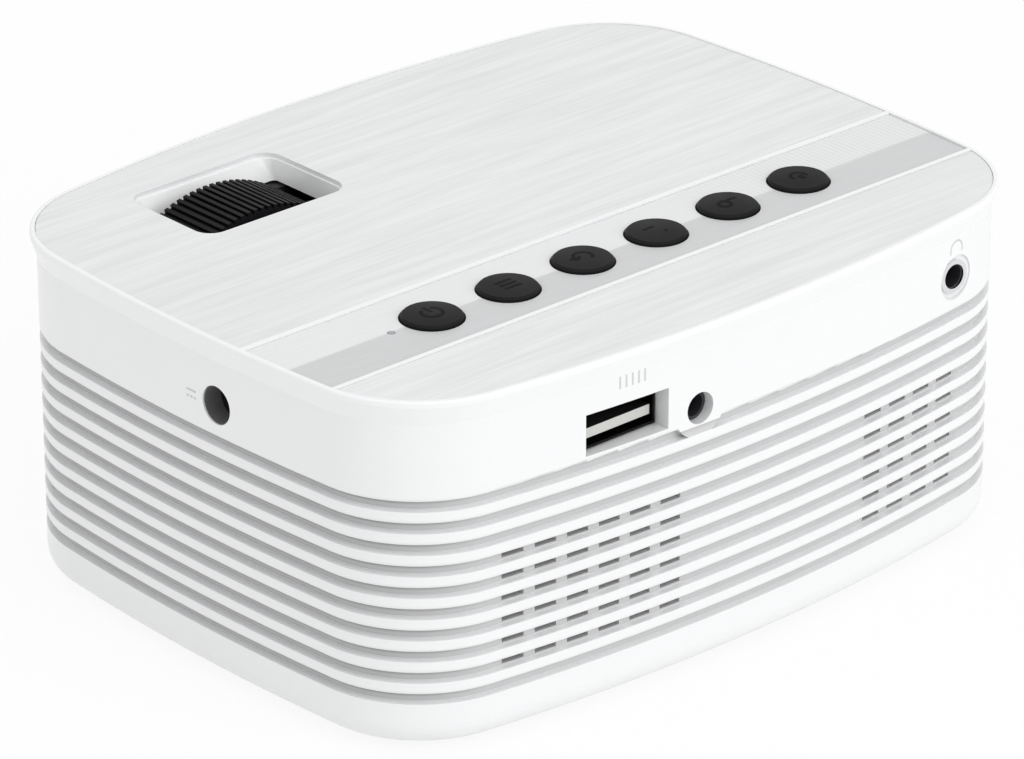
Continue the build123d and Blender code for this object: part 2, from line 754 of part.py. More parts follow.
barrel_rear_y = barrel_front_y + barrel_length
with BuildPart() as lens_barrel:
    add_tube_y(lens_x, lens_z, barrel_front_y, barrel_rear_y, barrel_radius)
    key_front_y = front_guide_y + focus_travel + key_slot_gap
    key_rear_y = front_guide_y + front_guide_thickness - focus_travel - key_slot_gap
    add_block((lens_x - barrel_key_width / 2, key_front_y, lens_z - barrel_radius - barrel_key_height),
              (lens_x + barrel_key_width / 2, key_rear_y, lens_z - barrel_bore))
    add_tube_y(lens_x, lens_z, barrel_front_y, barrel_rear_y, barrel_bore, Mode.SUBTRACT)
    add_tube_y(lens_x, lens_z, barrel_front_y, barrel_front_y + front_seat_depth, lens_seat_radius,
               Mode.SUBTRACT)
    add_tube_y(lens_x, lens_z, barrel_rear_y - rear_seat_depth, barrel_rear_y, lens_seat_radius,
               Mode.SUBTRACT)
save(lens_barrel, "lens_barrel")


def glass_lens(name, edge_front_y, front_bulge, rear_bulge):
    """Biconvex lens turned about the optical axis."""
    edge_rear_y = edge_front_y + lens_edge
    with BuildPart() as lens:
        with BuildSketch(Plane((lens_x, 0, lens_z), x_dir=(0, 1, 0), z_dir=(1, 0, 0))):
            with BuildLine():
                half = lens_radius / 2
                Line((edge_front_y - front_bulge, 0), (edge_rear_y + rear_bulge, 0))
                ThreePointArc((edge_rear_y + rear_bulge, 0),
                              (edge_rear_y + dome(lens_radius, rear_bulge, half), half),
                              (edge_rear_y, lens_radius))
                Line((edge_rear_y, lens_radius), (edge_front_y, lens_radius))
                ThreePointArc((edge_front_y, lens_radius),
                              (edge_front_y - dome(lens_radius, front_bulge, half), half),
                              (edge_front_y - front_bulge, 0))
            make_face()
        revolve(axis=Axis((lens_x, 0, lens_z), (0, 1, 0)))
    save(lens, name)


seat_rise = dome(lens_radius, lens_rear_bulge, barrel_bore)
front_lens_y = barrel_front_y + front_seat_depth - lens_edge - seat_rise
glass_lens("front_lens", front_lens_y, lens_front_bulge, lens_rear_bulge)
glass_lens("rear_lens", barrel_rear_y - rear_seat_depth + seat_rise, lens_rear_bulge, lens_front_bulge)

with BuildPart() as lens_retainer:
    retainer_rear_y = front_lens_y - dome(lens_radius, lens_front_bulge, retainer_bore)
    retainer_front_y = retainer_rear_y - retainer_width
    add_tube_y(lens_x, lens_z, retainer_front_y, retainer_rear_y, lens_radius)
    add_tube_y(lens_x, lens_z, retainer_front_y, retainer_rear_y, retainer_bore, Mode.SUBTRACT)
save(lens_retainer, "lens_retainer")

with BuildPart() as lens_mount:
    add_block((lens_x - guide_half_width, front_guide_y, bridge_z),
              (lens_x + guide_half_width, front_guide_y + front_guide_thickness, guide_top_z))
    add_block((lens_x - guide_half_width, rear_guide_y, bridge_z),
              (lens_x + guide_half_width, rear_guide_back_y, guide_top_z))
    add_block((lens_x - guide_half_width, front_guide_y, bridge_z),
              (lens_x + guide_half_width, rear_guide_back_y, bridge_top_z))
    add_tube_y(lens_x, lens_z, front_guide_y, rear_guide_back_y, barrel_radius + barrel_clearance,
               Mode.SUBTRACT)
    slot_half = barrel_key_width / 2 + key_slot_gap
    add_block((lens_x - slot_half, front_guide_y, lens_z - barrel_radius - barrel_key_height - key_slot_gap),
              (lens_x + slot_half, front_guide_y + front_guide_thickness, lens_z - barrel_bore),
              Mode.SUBTRACT)
save(lens_mount, "lens_mount")

with BuildPart() as lens_hood:
    add_tube_y(lens_x, lens_z, hood_front_y, front_guide_y, hood_radius)
    fillet(lens_hood.faces().sort_by(Axis.Y)[0].edges(), hood_edge_round)
    add_tube_y(lens_x, lens_z, front_guide_y - hood_flange_thickness, front_guide_y,
               hood_radius + hood_flange)
    add_tube_y(lens_x, lens_z, hood_front_y, front_guide_y, hood_bore, Mode.SUBTRACT)
save(lens_hood, "lens_hood")

# ---- Light engine: slotted housing, panes, light cone, lamp and heat sink ----
pane_half_width = engine_half_width - engine_wall + slot_depth
pane_low_z = lens_z - engine_half_height + engine_wall - slot_depth
engine_top_z = lens_z + engine_half_height
panes = [("front_fresnel", engine_y + front_fresnel_depth, fresnel_thickness),
         ("lcd_panel", engine_y + lcd_depth, lcd_thickness),
         ("rear_fresnel", engine_y + rear_fresnel_depth, fresnel_thickness),
         ("heat_glass", engine_y + heat_glass_depth, heat_glass_thickness)]

with BuildPart() as engine_housing:
    add_block((lens_x - engine_half_width, engine_y, lens_z - engine_half_height),
              (lens_x + engine_half_width, engine_rear_y, engine_top_z))
    add_block((lens_x - engine_half_width + engine_wall, engine_y + engine_wall,
               lens_z - engine_half_height + engine_wall),
              (lens_x + engine_half_width - engine_wall, engine_rear_y, engine_top_z - engine_wall),
              Mode.SUBTRACT)
    add_tube_y(lens_x, lens_z, engine_y, engine_y + engine_wall, barrel_radius + engine_mouth_gap,
               Mode.SUBTRACT)
    for pane_name, y, thickness in panes:
        half = thickness / 2 + slot_gap
        add_block((lens_x - pane_half_width - slot_gap, y - half, pane_low_z),
                  (lens_x + pane_half_width + slot_gap, y + half, engine_top_z), Mode.SUBTRACT)
    for side in (-1, 1):
        leg_x = lens_x + side * (engine_half_width - engine_wall)
        add_block((leg_x - engine_wall / 2, engine_y, floor_z),
                  (leg_x + engine_wall / 2, engine_rear_y, lens_z - engine_half_height + engine_wall / 2))
save(engine_housing, "engine_housing")

for pane_name, y, thickness in panes:
    with BuildPart() as pane:
        add_block((lens_x - pane_half_width, y - thickness / 2, pane_low_z),
                  (lens_x + pane_half_width, y + thickness / 2, engine_top_z - slot_gap))
    save(pane, pane_name)

with BuildPart() as light_cone:
    add_block((lens_x - engine_half_width, engine_rear_y, lens_z - engine_half_height),
              (lens_x + engine_half_width, engine_rear_y + cone_flange_thickness, engine_top_z))
    with BuildSketch(across(lens_x, engine_rear_y, lens_z)):
        Rectangle(2 * (cone_mouth_half + cone_wall), 2 * (cone_mouth_half + cone_wall))
    with BuildSketch(across(lens_x, cone_tail_y, lens_z)):
        Rectangle(2 * (cone_tail_half + cone_wall), 2 * (cone_tail_half + cone_wall))
    loft()
    with BuildSketch(across(lens_x, engine_rear_y, lens_z)):
        Rectangle(2 * cone_mouth_half, 2 * cone_mouth_half)
    with BuildSketch(across(lens_x, cone_tail_y, lens_z)):
        Rectangle(2 * cone_tail_half, 2 * cone_tail_half)
    loft(mode=Mode.SUBTRACT)
save(light_cone, "light_cone")

with BuildPart() as led_board:
    add_block((lens_x - led_board_half, led_board_y, lens_z - led_board_half),
              (lens_x + led_board_half, led_board_y + led_board_thickness, lens_z + led_board_half))
save(led_board, "led_board")

with BuildPart() as led_chip:
    add_block((lens_x - led_half, led_board_y - led_thickness, lens_z - led_half),
              (lens_x + led_half, led_board_y, lens_z + led_half))
save(led_chip, "led_chip")

with BuildPart() as heat_sink:
    add_block((fan_x - sink_width / 2, sink_y, sink_z),
              (fan_x + sink_width / 2, sink_y + sink_base, sink_z + sink_height))
    with BuildSketch(Plane((fan_x, sink_y + (sink_base + sink_depth) / 2, sink_z))):
        with GridLocations((sink_width - sink_fin) / (sink_fin_count - 1), 0, sink_fin_count, 1):
            Rectangle(sink_fin, sink_depth - sink_base)
    extrude(amount=sink_height)
save(heat_sink, "heat_sink")

# ---- Fan ----
fan_rear_y = fan_y + fan_depth
with BuildPart() as fan_frame:
    with BuildSketch(across(fan_x, fan_rear_y, fan_z)):
        RectangleRounded(fan_size, fan_size, fan_corner)
        Circle(fan_bore, mode=Mode.SUBTRACT)
    extrude(amount=fan_depth)
    with BuildSketch(across(fan_x, fan_rear_y, fan_z)):
        Circle(fan_hub_radius)
        with PolarLocations((fan_bore + fan_hub_radius) / 2, 3, start_angle=90):
            Rectangle(fan_bore - fan_hub_radius + 2 * fan_plate, fan_strut_width)
    extrude(amount=fan_plate)
    add_tube_y(fan_x, fan_z, fan_rear_y - fan_plate - fan_shaft_length, fan_rear_y, fan_shaft_radius)
save(fan_frame, "fan_frame")

hub_rear_y = fan_rear_y - fan_plate - fan_hub_gap
blade_root = fan_hub_radius - fan_blade_thickness
blade_tip = fan_bore - fan_blade_gap
tilt = radians(fan_blade_pitch)
with BuildPart() as fan_blade:
    with BuildSketch(Plane((fan_x + (blade_root + blade_tip) / 2, hub_rear_y - fan_hub_depth / 2, fan_z),
                           x_dir=(1, 0, 0), z_dir=(0, -cos(tilt), sin(tilt)))):
        Rectangle(blade_tip - blade_root, fan_hub_depth)
    extrude(amount=fan_blade_thickness / 2, both=True)

with BuildPart() as fan_rotor:
    add_tube_y(fan_x, fan_z, hub_rear_y - fan_hub_depth, hub_rear_y, fan_hub_radius)
    for i in range(fan_blade_count):
        add(fan_blade.part.rotate(Axis((fan_x, 0, fan_z), (0, 1, 0)), 360 * i / fan_blade_count))
    add_tube_y(fan_x, fan_z, hub_rear_y - fan_shaft_length, hub_rear_y,
               fan_shaft_radius + fan_shaft_clearance, Mode.SUBTRACT)
save(fan_rotor, "fan_rotor")

# ---- Main board and its sockets ----
with BuildPart() as main_board:
    add_block((board_left, board_front, board_z), (board_right, board_rear, board_top))
    add_block((board_right, arm_front, board_z), (arm_right, board_rear, board_top))
    for x, y in board_posts:
        add_round(x, y, board_z, board_top, shank_hole - stem_clearance, Mode.SUBTRACT)
save(main_board, "main_board")

with BuildPart() as main_chips:
    for x, y, side in chips:
        add_block((x - side / 2, y - side / 2, board_top),
                  (x + side / 2, y + side / 2, board_top + chip_height))
save(main_chips, "main_chips")

with BuildPart() as capacitors:
    for x, y in capacitor_places:
        add_round(x, y, board_top, board_top + capacitor_height, capacitor_radius)
    fillet(capacitors.faces().filter_by(Axis.Z).group_by(Axis.Z)[-1].edges(), part_gap * 2)
save(capacitors, "capacitors")

usb_back_y = usb_front_y - usb_depth
with BuildPart() as usb_shell:
    add_block((usb_x - usb_shell_width / 2, usb_back_y, usb_z - usb_shell_height / 2),
              (usb_x + usb_shell_width / 2, usb_front_y, usb_z + usb_shell_height / 2))
    add_block((usb_x - usb_shell_width / 2 + usb_shell_wall, usb_back_y,
               usb_z - usb_shell_height / 2 + usb_shell_wall),
              (usb_x + usb_shell_width / 2 - usb_shell_wall, usb_front_y,
               usb_z + usb_shell_height / 2 - usb_shell_wall), Mode.SUBTRACT)
    for side in (-1, 1):
        leg_x = usb_x + side * (usb_shell_width - usb_shell_wall) / 2
        add_block((leg_x - usb_shell_wall / 2, usb_back_y + usb_back_block, board_top),
                  (leg_x + usb_shell_wall / 2, board_rear - usb_shell_wall, usb_z - usb_shell_height / 2))
save(usb_shell, "usb_shell")

with BuildPart() as usb_insulator:
    add_block((usb_x - usb_shell_width / 2 + usb_shell_wall, usb_back_y,
               usb_z - usb_shell_height / 2 + usb_shell_wall),
              (usb_x + usb_shell_width / 2 - usb_shell_wall, usb_back_y + usb_back_block,
               usb_z + usb_shell_height / 2 - usb_shell_wall))
    tongue_low_z = usb_z - usb_tongue_drop - usb_tongue_thickness / 2
    add_block((usb_x - usb_tongue_width / 2, usb_back_y, tongue_low_z),
              (usb_x + usb_tongue_width / 2, usb_front_y - usb_tongue_set_back,
               tongue_low_z + usb_tongue_thickness))
save(usb_insulator, "usb_insulator")

av_front_y = wall_y(av_x, wall) - part_gap
with BuildPart() as av_jack:
    add_block((av_x - jack_width / 2, av_front_y - jack_depth, board_top),
              (av_x + jack_width / 2, av_front_y, av_z + av_body_half))
    add_tube_y(av_x, av_z, av_front_y - jack_depth, av_front_y + wall / 2, av_hole - stem_clearance)
    add_tube_y(av_x, av_z, av_front_y - jack_depth + wall, av_front_y + wall / 2, jack_bore, Mode.SUBTRACT)
save(av_jack, "av_jack")

phone_front_y = wall_y(phone_x - jack_width / 2, wall) - part_gap
phone_floor_y = wall_y(phone_x + phone_hole) - phone_sink
with BuildPart() as headphone_jack:
    add_block((phone_x - jack_width / 2, phone_front_y - jack_depth, board_top),
              (phone_x + jack_width / 2, phone_front_y, phone_z + phone_body_half))
    add_tube_y(phone_x, phone_z, phone_front_y - jack_depth, phone_floor_y, phone_inner_hole - stem_clearance)
    add_tube_y(phone_x, phone_z, phone_front_y - jack_depth + wall, phone_floor_y, jack_bore, Mode.SUBTRACT)
save(headphone_jack, "headphone_jack")

with BuildPart() as headphone_ring:
    add_tube_y(phone_x, phone_z, phone_floor_y, phone_floor_y + phone_ring_width, phone_inner_hole)
    add_tube_y(phone_x, phone_z, phone_floor_y, phone_floor_y + phone_ring_width, jack_bore + stem_clearance,
               Mode.SUBTRACT)
save(headphone_ring, "headphone_ring")

with BuildPart() as dc_jack:
    add_block((dc_front_x - dc_body_depth, dc_y - dc_body_half, dc_z - dc_body_half),
              (dc_front_x, dc_y + dc_body_half, dc_z + dc_body_half))
    with BuildSketch(Plane((dc_front_x - dc_bore_depth, dc_y, dc_z), x_dir=(0, 1, 0), z_dir=(1, 0, 0))):
        Circle(dc_bore)
    extrude(amount=dc_bore_depth, mode=Mode.SUBTRACT)
save(dc_jack, "dc_jack")

with BuildPart() as dc_pin:
    with BuildSketch(Plane((dc_front_x - dc_bore_depth, dc_y, dc_z), x_dir=(0, 1, 0), z_dir=(1, 0, 0))):
        Circle(dc_pin_radius)
    extrude(amount=dc_bore_depth - dc_pin_tip_gap)
    fillet(dc_pin.faces().sort_by(Axis.X)[-1].edges(), dc_pin_radius / 2)
save(dc_pin, "dc_pin")

with BuildPart() as dc_board:
    add_block((dc_front_x - dc_body_depth, dc_y - dc_board_half, dc_board_z),
              (dc_front_x - part_gap, dc_y + dc_board_half, dc_board_z + board_thickness))
save(dc_board, "dc_board")

# ---- Speaker ----
speaker_back_y = speaker_face_y - speaker_depth
with BuildPart() as speaker_frame:
    add_tube_y(speaker_x, speaker_z, speaker_back_y, speaker_face_y, speaker_radius)
    add_tube_y(speaker_x, speaker_z, speaker_back_y + speaker_wall, speaker_face_y,
               speaker_radius - speaker_wall, Mode.SUBTRACT)
save(speaker_frame, "speaker_frame")

with BuildPart() as speaker_magnet:
    add_tube_y(speaker_x, speaker_z, speaker_back_y - magnet_depth, speaker_back_y, magnet_radius)
save(speaker_magnet, "speaker_magnet")

with BuildPart() as speaker_cone:
    outer = speaker_radius - speaker_wall
    inner = magnet_radius / 2
    rim_y = speaker_face_y - speaker_wall
    deep_y = rim_y - cone_dip
    with BuildSketch(Plane((speaker_x, 0, speaker_z), x_dir=(1, 0, 0), z_dir=(0, 0, 1))):
        with BuildLine():
            Polyline((0, deep_y), (inner, deep_y), (outer - cone_roll, rim_y - cone_roll),
                     (outer, rim_y - cone_roll), (outer, rim_y - cone_roll + cone_thickness),
                     (outer - cone_roll, rim_y - cone_roll + cone_thickness),
                     (inner, deep_y + cone_thickness), (0, deep_y + cone_thickness), (0, deep_y))
        make_face()
    revolve(axis=Axis((speaker_x, 0, speaker_z), (0, 1, 0)))
save(speaker_cone, "speaker_cone")
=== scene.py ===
"""Pocket projector: camera, light, finishes and small pieces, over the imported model."""

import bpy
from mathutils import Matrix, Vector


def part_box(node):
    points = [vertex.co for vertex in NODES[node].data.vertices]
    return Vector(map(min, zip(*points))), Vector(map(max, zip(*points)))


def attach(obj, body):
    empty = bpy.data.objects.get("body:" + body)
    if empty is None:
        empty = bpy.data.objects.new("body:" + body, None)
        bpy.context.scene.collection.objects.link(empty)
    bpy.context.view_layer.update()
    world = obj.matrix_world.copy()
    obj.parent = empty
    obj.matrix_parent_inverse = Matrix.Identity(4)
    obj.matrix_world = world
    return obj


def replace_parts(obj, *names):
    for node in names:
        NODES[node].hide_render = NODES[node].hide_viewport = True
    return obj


bl_info = {
    "name": "Pocket Projector",
    "version": (1, 0, 0),
    "blender": (4, 5, 0),
    "location": "3D View > Sidebar > Projector",
    "description": "Dresses a small ribbed table-top projector with its finishes and fine pieces",
    "category": "Object",
}

import math

import bmesh
import bpy
from bpy.props import FloatProperty, FloatVectorProperty, IntProperty, PointerProperty
from mathutils import Matrix, Vector
from mathutils.bvhtree import BVHTree

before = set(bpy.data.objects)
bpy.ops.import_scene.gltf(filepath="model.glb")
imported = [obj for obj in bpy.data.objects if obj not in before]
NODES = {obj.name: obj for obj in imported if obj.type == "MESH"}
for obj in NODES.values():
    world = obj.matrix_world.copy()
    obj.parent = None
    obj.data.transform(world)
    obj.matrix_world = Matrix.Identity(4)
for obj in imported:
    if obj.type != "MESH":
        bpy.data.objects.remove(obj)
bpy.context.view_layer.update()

MM = 0.001
UP = Vector((0, 0, 1))
RIGHT_FROM_BEHIND = Vector((-1, 0, 0))

# The case's grooves: the first one's upper edge below the top, then their pitch, height and number
FIRST_GROOVE_DROP = 15.695 * MM
GROOVE_PITCH = 3.29 * MM
GROOVE_HEIGHT = 1.35 * MM
GROOVE_COUNT = 10


def box_centre(node):
    """Middle of a CAD node's box."""
    low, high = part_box(node)
    return (Vector(low) + Vector(high)) / 2


LENS_AXIS = box_centre("lens_barrel")


def add_node(tree, kind, inputs=(), **settings):
    """Adds a node; inputs holds pairs of a socket's name or number and a value or an output."""
    added = tree.nodes.new(kind)
    for key, value in settings.items():
        setattr(added, key, value)
    for key, value in inputs:
        if isinstance(value, bpy.types.NodeSocket):
            tree.links.new(value, added.inputs[key])
        else:
            added.inputs[key].default_value = value
    return added


class NodeLayout:
    """Lays out the nodes of one tree."""

    def node(self, kind, inputs=(), **settings):
        """Adds a node to the tree."""
        return add_node(self.tree, kind, inputs, **settings)

    def maths(self, operation, first, second):
        """One sum on two values."""
        return self.node("ShaderNodeMath", ((0, first), (1, second)), operation=operation).outputs[0]


# ---- Finishes ----

class Finish(NodeLayout):
    """A procedural material while its nodes are being laid out."""

    def __init__(self, name, colour, roughness, metallic=0.0):
        self.material = bpy.data.materials.new(name)
        self.material.use_nodes = True
        self.material.diffuse_color = (*colour[:3], 1.0)
        self.tree = self.material.node_tree
        self.shader = self.tree.nodes["Principled BSDF"]
        self.colour = Vector(colour[:3])
        self.roughness = roughness
        self.set("Base Color", (*colour[:3], 1.0))
        self.set("Roughness", roughness)
        self.set("Metallic", metallic)
        self.place = self.tree.nodes.new("ShaderNodeTexCoord").outputs["Object"]
        self.relief = None

    def set(self, socket, value):
        """Gives one of the shader's own sockets a constant."""
        self.shader.inputs[socket].default_value = value

    def mapped(self, scale=(1, 1, 1), origin=(0, 0, 0)):
        """Object coordinates, moved so that origin is zero, then stretched."""
        inputs = (("Vector", self.place), ("Location", Vector(origin)), ("Scale", scale))
        return self.node("ShaderNodeMapping", inputs, vector_type="TEXTURE").outputs[0]

    def noise(self, size, stretch=(1, 1, 1), detail=2.0):
        """Soft noise whose grains are size metres across, longer by stretch along each axis."""
        place = self.mapped(scale=tuple(size * s for s in stretch))
        inputs = (("Vector", place), ("Scale", 1.0), ("Detail", detail))
        return self.node("ShaderNodeTexNoise", inputs).outputs[0]

    def ranged(self, value, low, high, start=0.3, end=0.7):
        """Value carried from start..end to low..high."""
        return self.node("ShaderNodeMapRange", (("Value", value), ("From Min", start), ("From Max", end),
                                                ("To Min", low), ("To Max", high))).outputs[0]

    def blend(self, factor, first, second):
        """Colour between two colours."""
        inputs = [(0, factor)]
        for index, colour in ((6, first), (7, second)):
            inputs.append((index, colour if isinstance(colour, bpy.types.NodeSocket) else (*colour[:3], 1.0)))
        return self.node("ShaderNodeMix", inputs, data_type="RGBA").outputs[2]

    def paint(self, colour):
        """Links a varying colour to the shader."""
        self.tree.links.new(colour, self.shader.inputs["Base Color"])

    def shine(self, value):
        """Links a varying roughness to the shader."""
        self.tree.links.new(value, self.shader.inputs["Roughness"])

    def raise_by(self, height, distance):
        """Adds relief of that depth in metres on top of what is there."""
        inputs = [("Height", height), ("Distance", distance), ("Strength", 1.0)]
        if self.relief is not None:
            inputs.append(("Normal", self.relief))
        self.relief = self.node("ShaderNodeBump", inputs).outputs[0]
        self.tree.links.new(self.relief, self.shader.inputs["Normal"])

    def facing(self, axis, low, high):
        """0 to 1 as the surface turns towards the positive end of an axis."""
        normal = self.node("ShaderNodeTexCoord").outputs["Normal"]
        split = self.node("ShaderNodeSeparateXYZ", ((0, normal),))
        return self.ranged(split.outputs[axis], 0.0, 1.0, low, high)

    def mottle(self, spread, size):
        """Faint unevenness of the colour."""
        cloud = self.ranged(self.noise(size, detail=3.0), 0.0, 1.0)
        self.paint(self.blend(cloud, self.colour * (1 - spread), self.colour * (1 + spread)))

    def uneven_shine(self, spread, size):
        """Roughness that varies a little, as from handling."""
        cloud = self.noise(size, detail=4.0)
        self.shine(self.ranged(cloud, self.roughness - spread, self.roughness + spread))


def moulded(name, colour, roughness, grain, depth, spread, shine=(0.05, 6 * MM)):
    """Injection-moulded plastic with a fine spark-eroded grain and a slightly uneven shine."""
    finish = Finish(name, colour, roughness)
    finish.set("IOR", 1.49)
    finish.mottle(spread, 9 * MM)
    finish.uneven_shine(*shine)
    finish.raise_by(finish.noise(grain, detail=1.0), depth)
    return finish


def polished_plastic(name, colour, roughness):
    """Glossy moulded plastic under a thin coat, with faint sink waves."""
    finish = moulded(name, colour, roughness, 2.4 * MM, 0.0006 * MM, 0.006, shine=(0.015, 14 * MM))
    finish.set("Coat Weight", 0.2)
    finish.set("Coat Roughness", 0.12)
    finish.raise_by(finish.noise(30 * MM, detail=0.0), 0.014 * MM)
    return finish


def ribbed_plastic(name, colour, roughness, groove_painted_shades):
    """Glossy plastic whose grooves are painted shade: greyer floors, a painted shadow darkest under the upper
    rib, and darker again on the ends.
    """
    finish = polished_plastic(name, colour, roughness)
    split = finish.node("ShaderNodeSeparateXYZ", ((0, finish.place),))
    groove_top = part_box("top_cover")[1][2] - FIRST_GROOVE_DROP
    row = finish.maths("DIVIDE", finish.maths("SUBTRACT", groove_top, split.outputs[2]), GROOVE_PITCH)
    within = finish.maths("MULTIPLY", finish.maths("FRACT", row, 0.0), GROOVE_PITCH)
    started = finish.ranged(within, 0.0, 1.0, -0.12 * MM, 0.05 * MM)
    ended = finish.ranged(within, 1.0, 0.0, GROOVE_HEIGHT - 0.1 * MM, GROOVE_HEIGHT)
    inside = finish.maths("MULTIPLY", started, ended)
    inside = finish.maths("MULTIPLY", inside, finish.maths("GREATER_THAN", row, 0.0))
    inside = finish.maths("MULTIPLY", inside, finish.maths("LESS_THAN", row, float(GROOVE_COUNT)))
    cloud = finish.noise(5 * MM, detail=3.0)
    body = finish.blend(cloud, finish.colour * 0.992, finish.colour * 1.008)
    # Painted shade: the groove floors are painted grey, darker on the ends, with a painted shadow just under
    # each rib.
    shade, side_painted_shade, end_painted_shade = (Vector(tone) for tone in groove_painted_shades)
    from_middle = finish.maths("ABSOLUTE", split.outputs[0], 0.0)
    near_end = finish.ranged(from_middle, 0.0, 1.0, 46 * MM, 62 * MM)
    floor_painted_shade = finish.blend(near_end, side_painted_shade, end_painted_shade)
    under_rib_painted_shadow = finish.ranged(within, 1.0, 0.0, 0.2 * MM, 0.75 * MM)
    under_rib_painted_shadow = finish.maths("MULTIPLY", under_rib_painted_shadow, finish.ranged(near_end, 0.2, 1.0, 0.0, 1.0))
    groove = finish.blend(under_rib_painted_shadow, floor_painted_shade, shade)
    groove = finish.blend(finish.maths("MULTIPLY", cloud, 0.1), groove, body)
    finish.paint(finish.blend(inside, body, groove))
    return finish


def brushed_metal(name, colour, roughness, grain_axis):
    """Metal with fine draw lines along one axis."""
    finish = Finish(name, colour, roughness, 1.0)
    stretch = [1.0, 1.0, 1.0]
    stretch[grain_axis] = 60.0
    lines = finish.noise(0.12 * MM, stretch, 2.0)
    finish.paint(finish.blend(lines, finish.colour * 0.8, finish.colour * 1.1))
    finish.shine(finish.ranged(lines, roughness * 0.8, roughness * 1.3))
    finish.raise_by(lines, 0.006 * MM)
    return finish


def streaked_film(name, colour, edge, streak, depth):
    """In-mould film with fine streaks along the case, on a whiter sheet seen at its cut edge."""
    finish = Finish(name, colour, 0.42)
    fine = finish.noise(0.5 * MM, (26, 1, 1), 3.0)
    broad = finish.noise(1.9 * MM, (15, 1, 1), 3.0)
    cloud = finish.noise(16 * MM, (2, 1, 1), 2.0)
    lines = finish.maths("ADD", finish.maths("MULTIPLY", fine, 0.4), finish.maths("MULTIPLY", broad, 0.45))
    lines = finish.maths("ADD", lines, finish.maths("MULTIPLY", cloud, 0.15))
    film = finish.blend(finish.ranged(lines, 0.0, 1.0, 0.38, 0.62), finish.colour * (1 - streak),
                        finish.colour * (1 + streak * 0.6))
    finish.paint(finish.blend(finish.facing(2, 0.2, 0.6), edge, film))
    finish.shine(finish.ranged(fine, 0.34, 0.5))
    finish.raise_by(fine, depth)
    return finish


def strip_with_painted_reflection(name, light, shade, border, light_from):
    """Key strip: a light far half that is a painted reflection, the strip's own grey on the near half, and
    faint cross lines towards one end.
    """
    finish = Finish(name, light, 0.38)
    split = finish.node("ShaderNodeSeparateXYZ", ((0, finish.place),))
    ripple = finish.noise(3 * MM, detail=2.0)
    edge = finish.maths("ADD", split.outputs[1], finish.maths("MULTIPLY", ripple, 0.1 * MM))
    near = finish.ranged(edge, 0.0, 1.0, border - 0.25 * MM, border + 0.35 * MM)
    grain = finish.noise(0.5 * MM, (24, 1, 1), 3.0)
    light_tone = finish.blend(finish.ranged(grain, 0.0, 1.0), Vector(light) * 0.975, Vector(light) * 1.02)
    shade_tone = finish.blend(finish.ranged(grain, 0.0, 1.0), Vector(shade) * 0.96, Vector(shade) * 1.03)
    inputs = (("Vector", finish.mapped()), ("Scale", 1000 / 2.9), ("Distortion", 1.2), ("Detail", 1.0))
    cross = finish.node("ShaderNodeTexWave", inputs, bands_direction="X").outputs[1]
    far_end = finish.ranged(split.outputs[0], 0.0, 1.0, light_from, light_from - 26 * MM)
    lined = finish.maths("MULTIPLY", finish.maths("MULTIPLY", cross, far_end), 0.5)
    light_tone = finish.blend(lined, light_tone, Vector(light) * 0.84)
    finish.paint(finish.blend(near, light_tone, shade_tone))
    finish.shine(finish.ranged(grain, 0.3, 0.46))
    finish.raise_by(grain, 0.004 * MM)
    return finish


def lens_glass(name, tint, film):
    """Optical glass with a coating that keeps reflections down."""
    finish = Finish(name, tint, 0.02)
    finish.set("Transmission Weight", 1.0)
    finish.set("IOR", 1.52)
    finish.set("Specular IOR Level", 0.15)
    finish.set("Thin Film Thickness", film)
    finish.set("Thin Film IOR", 1.38)
    finish.uneven_shine(0.012, 4 * MM)
    finish.raise_by(finish.noise(6 * MM), 0.0006 * MM)
    return finish


def ringed_pane(name, tint, centre, pitch):
    """Clear plastic pane with a fresnel lens's fine rings."""
    finish = Finish(name, tint, 0.1)
    finish.set("Transmission Weight", 0.97)
    finish.set("IOR", 1.49)
    finish.set("Specular IOR Level", 0.2)
    inputs = (("Vector", finish.mapped(origin=centre)), ("Scale", 0.314 / pitch))
    rings = finish.node("ShaderNodeTexWave", inputs, wave_type="RINGS", rings_direction="Y",
                        wave_profile="SAW").outputs[1]
    finish.shine(finish.ranged(rings, 0.06, 0.16, 0.0, 1.0))
    finish.raise_by(rings, 0.05 * MM)
    return finish


def circuit_board(name, mask, track):
    """Solder mask over tracks, with tinned pads."""
    finish = Finish(name, mask, 0.3)
    inputs = (("Vector", finish.place), ("Scale", 420.0))
    cells = finish.node("ShaderNodeTexVoronoi", inputs, distance="MANHATTAN", feature="F1")
    inputs = (("Vector", finish.mapped()), ("Scale", 260.0), ("Mortar Size", 0.06), ("Brick Width", 1.7),
              ("Row Height", 0.35), ("Color1", (0, 0, 0, 1)), ("Color2", (0.1, 0.1, 0.1, 1)),
              ("Mortar", (1, 1, 1, 1)))
    lines = finish.node("ShaderNodeTexBrick", inputs)
    tracks = finish.blend(lines.outputs[1], mask, track)
    pads = finish.maths("LESS_THAN", cells.outputs[0], 0.13)
    finish.paint(finish.blend(pads, tracks, (0.62, 0.6, 0.55)))
    finish.raise_by(lines.outputs[1], 0.03 * MM)
    finish.tree.links.new(pads, finish.shader.inputs["Metallic"])
    return finish


FINISHES = {}

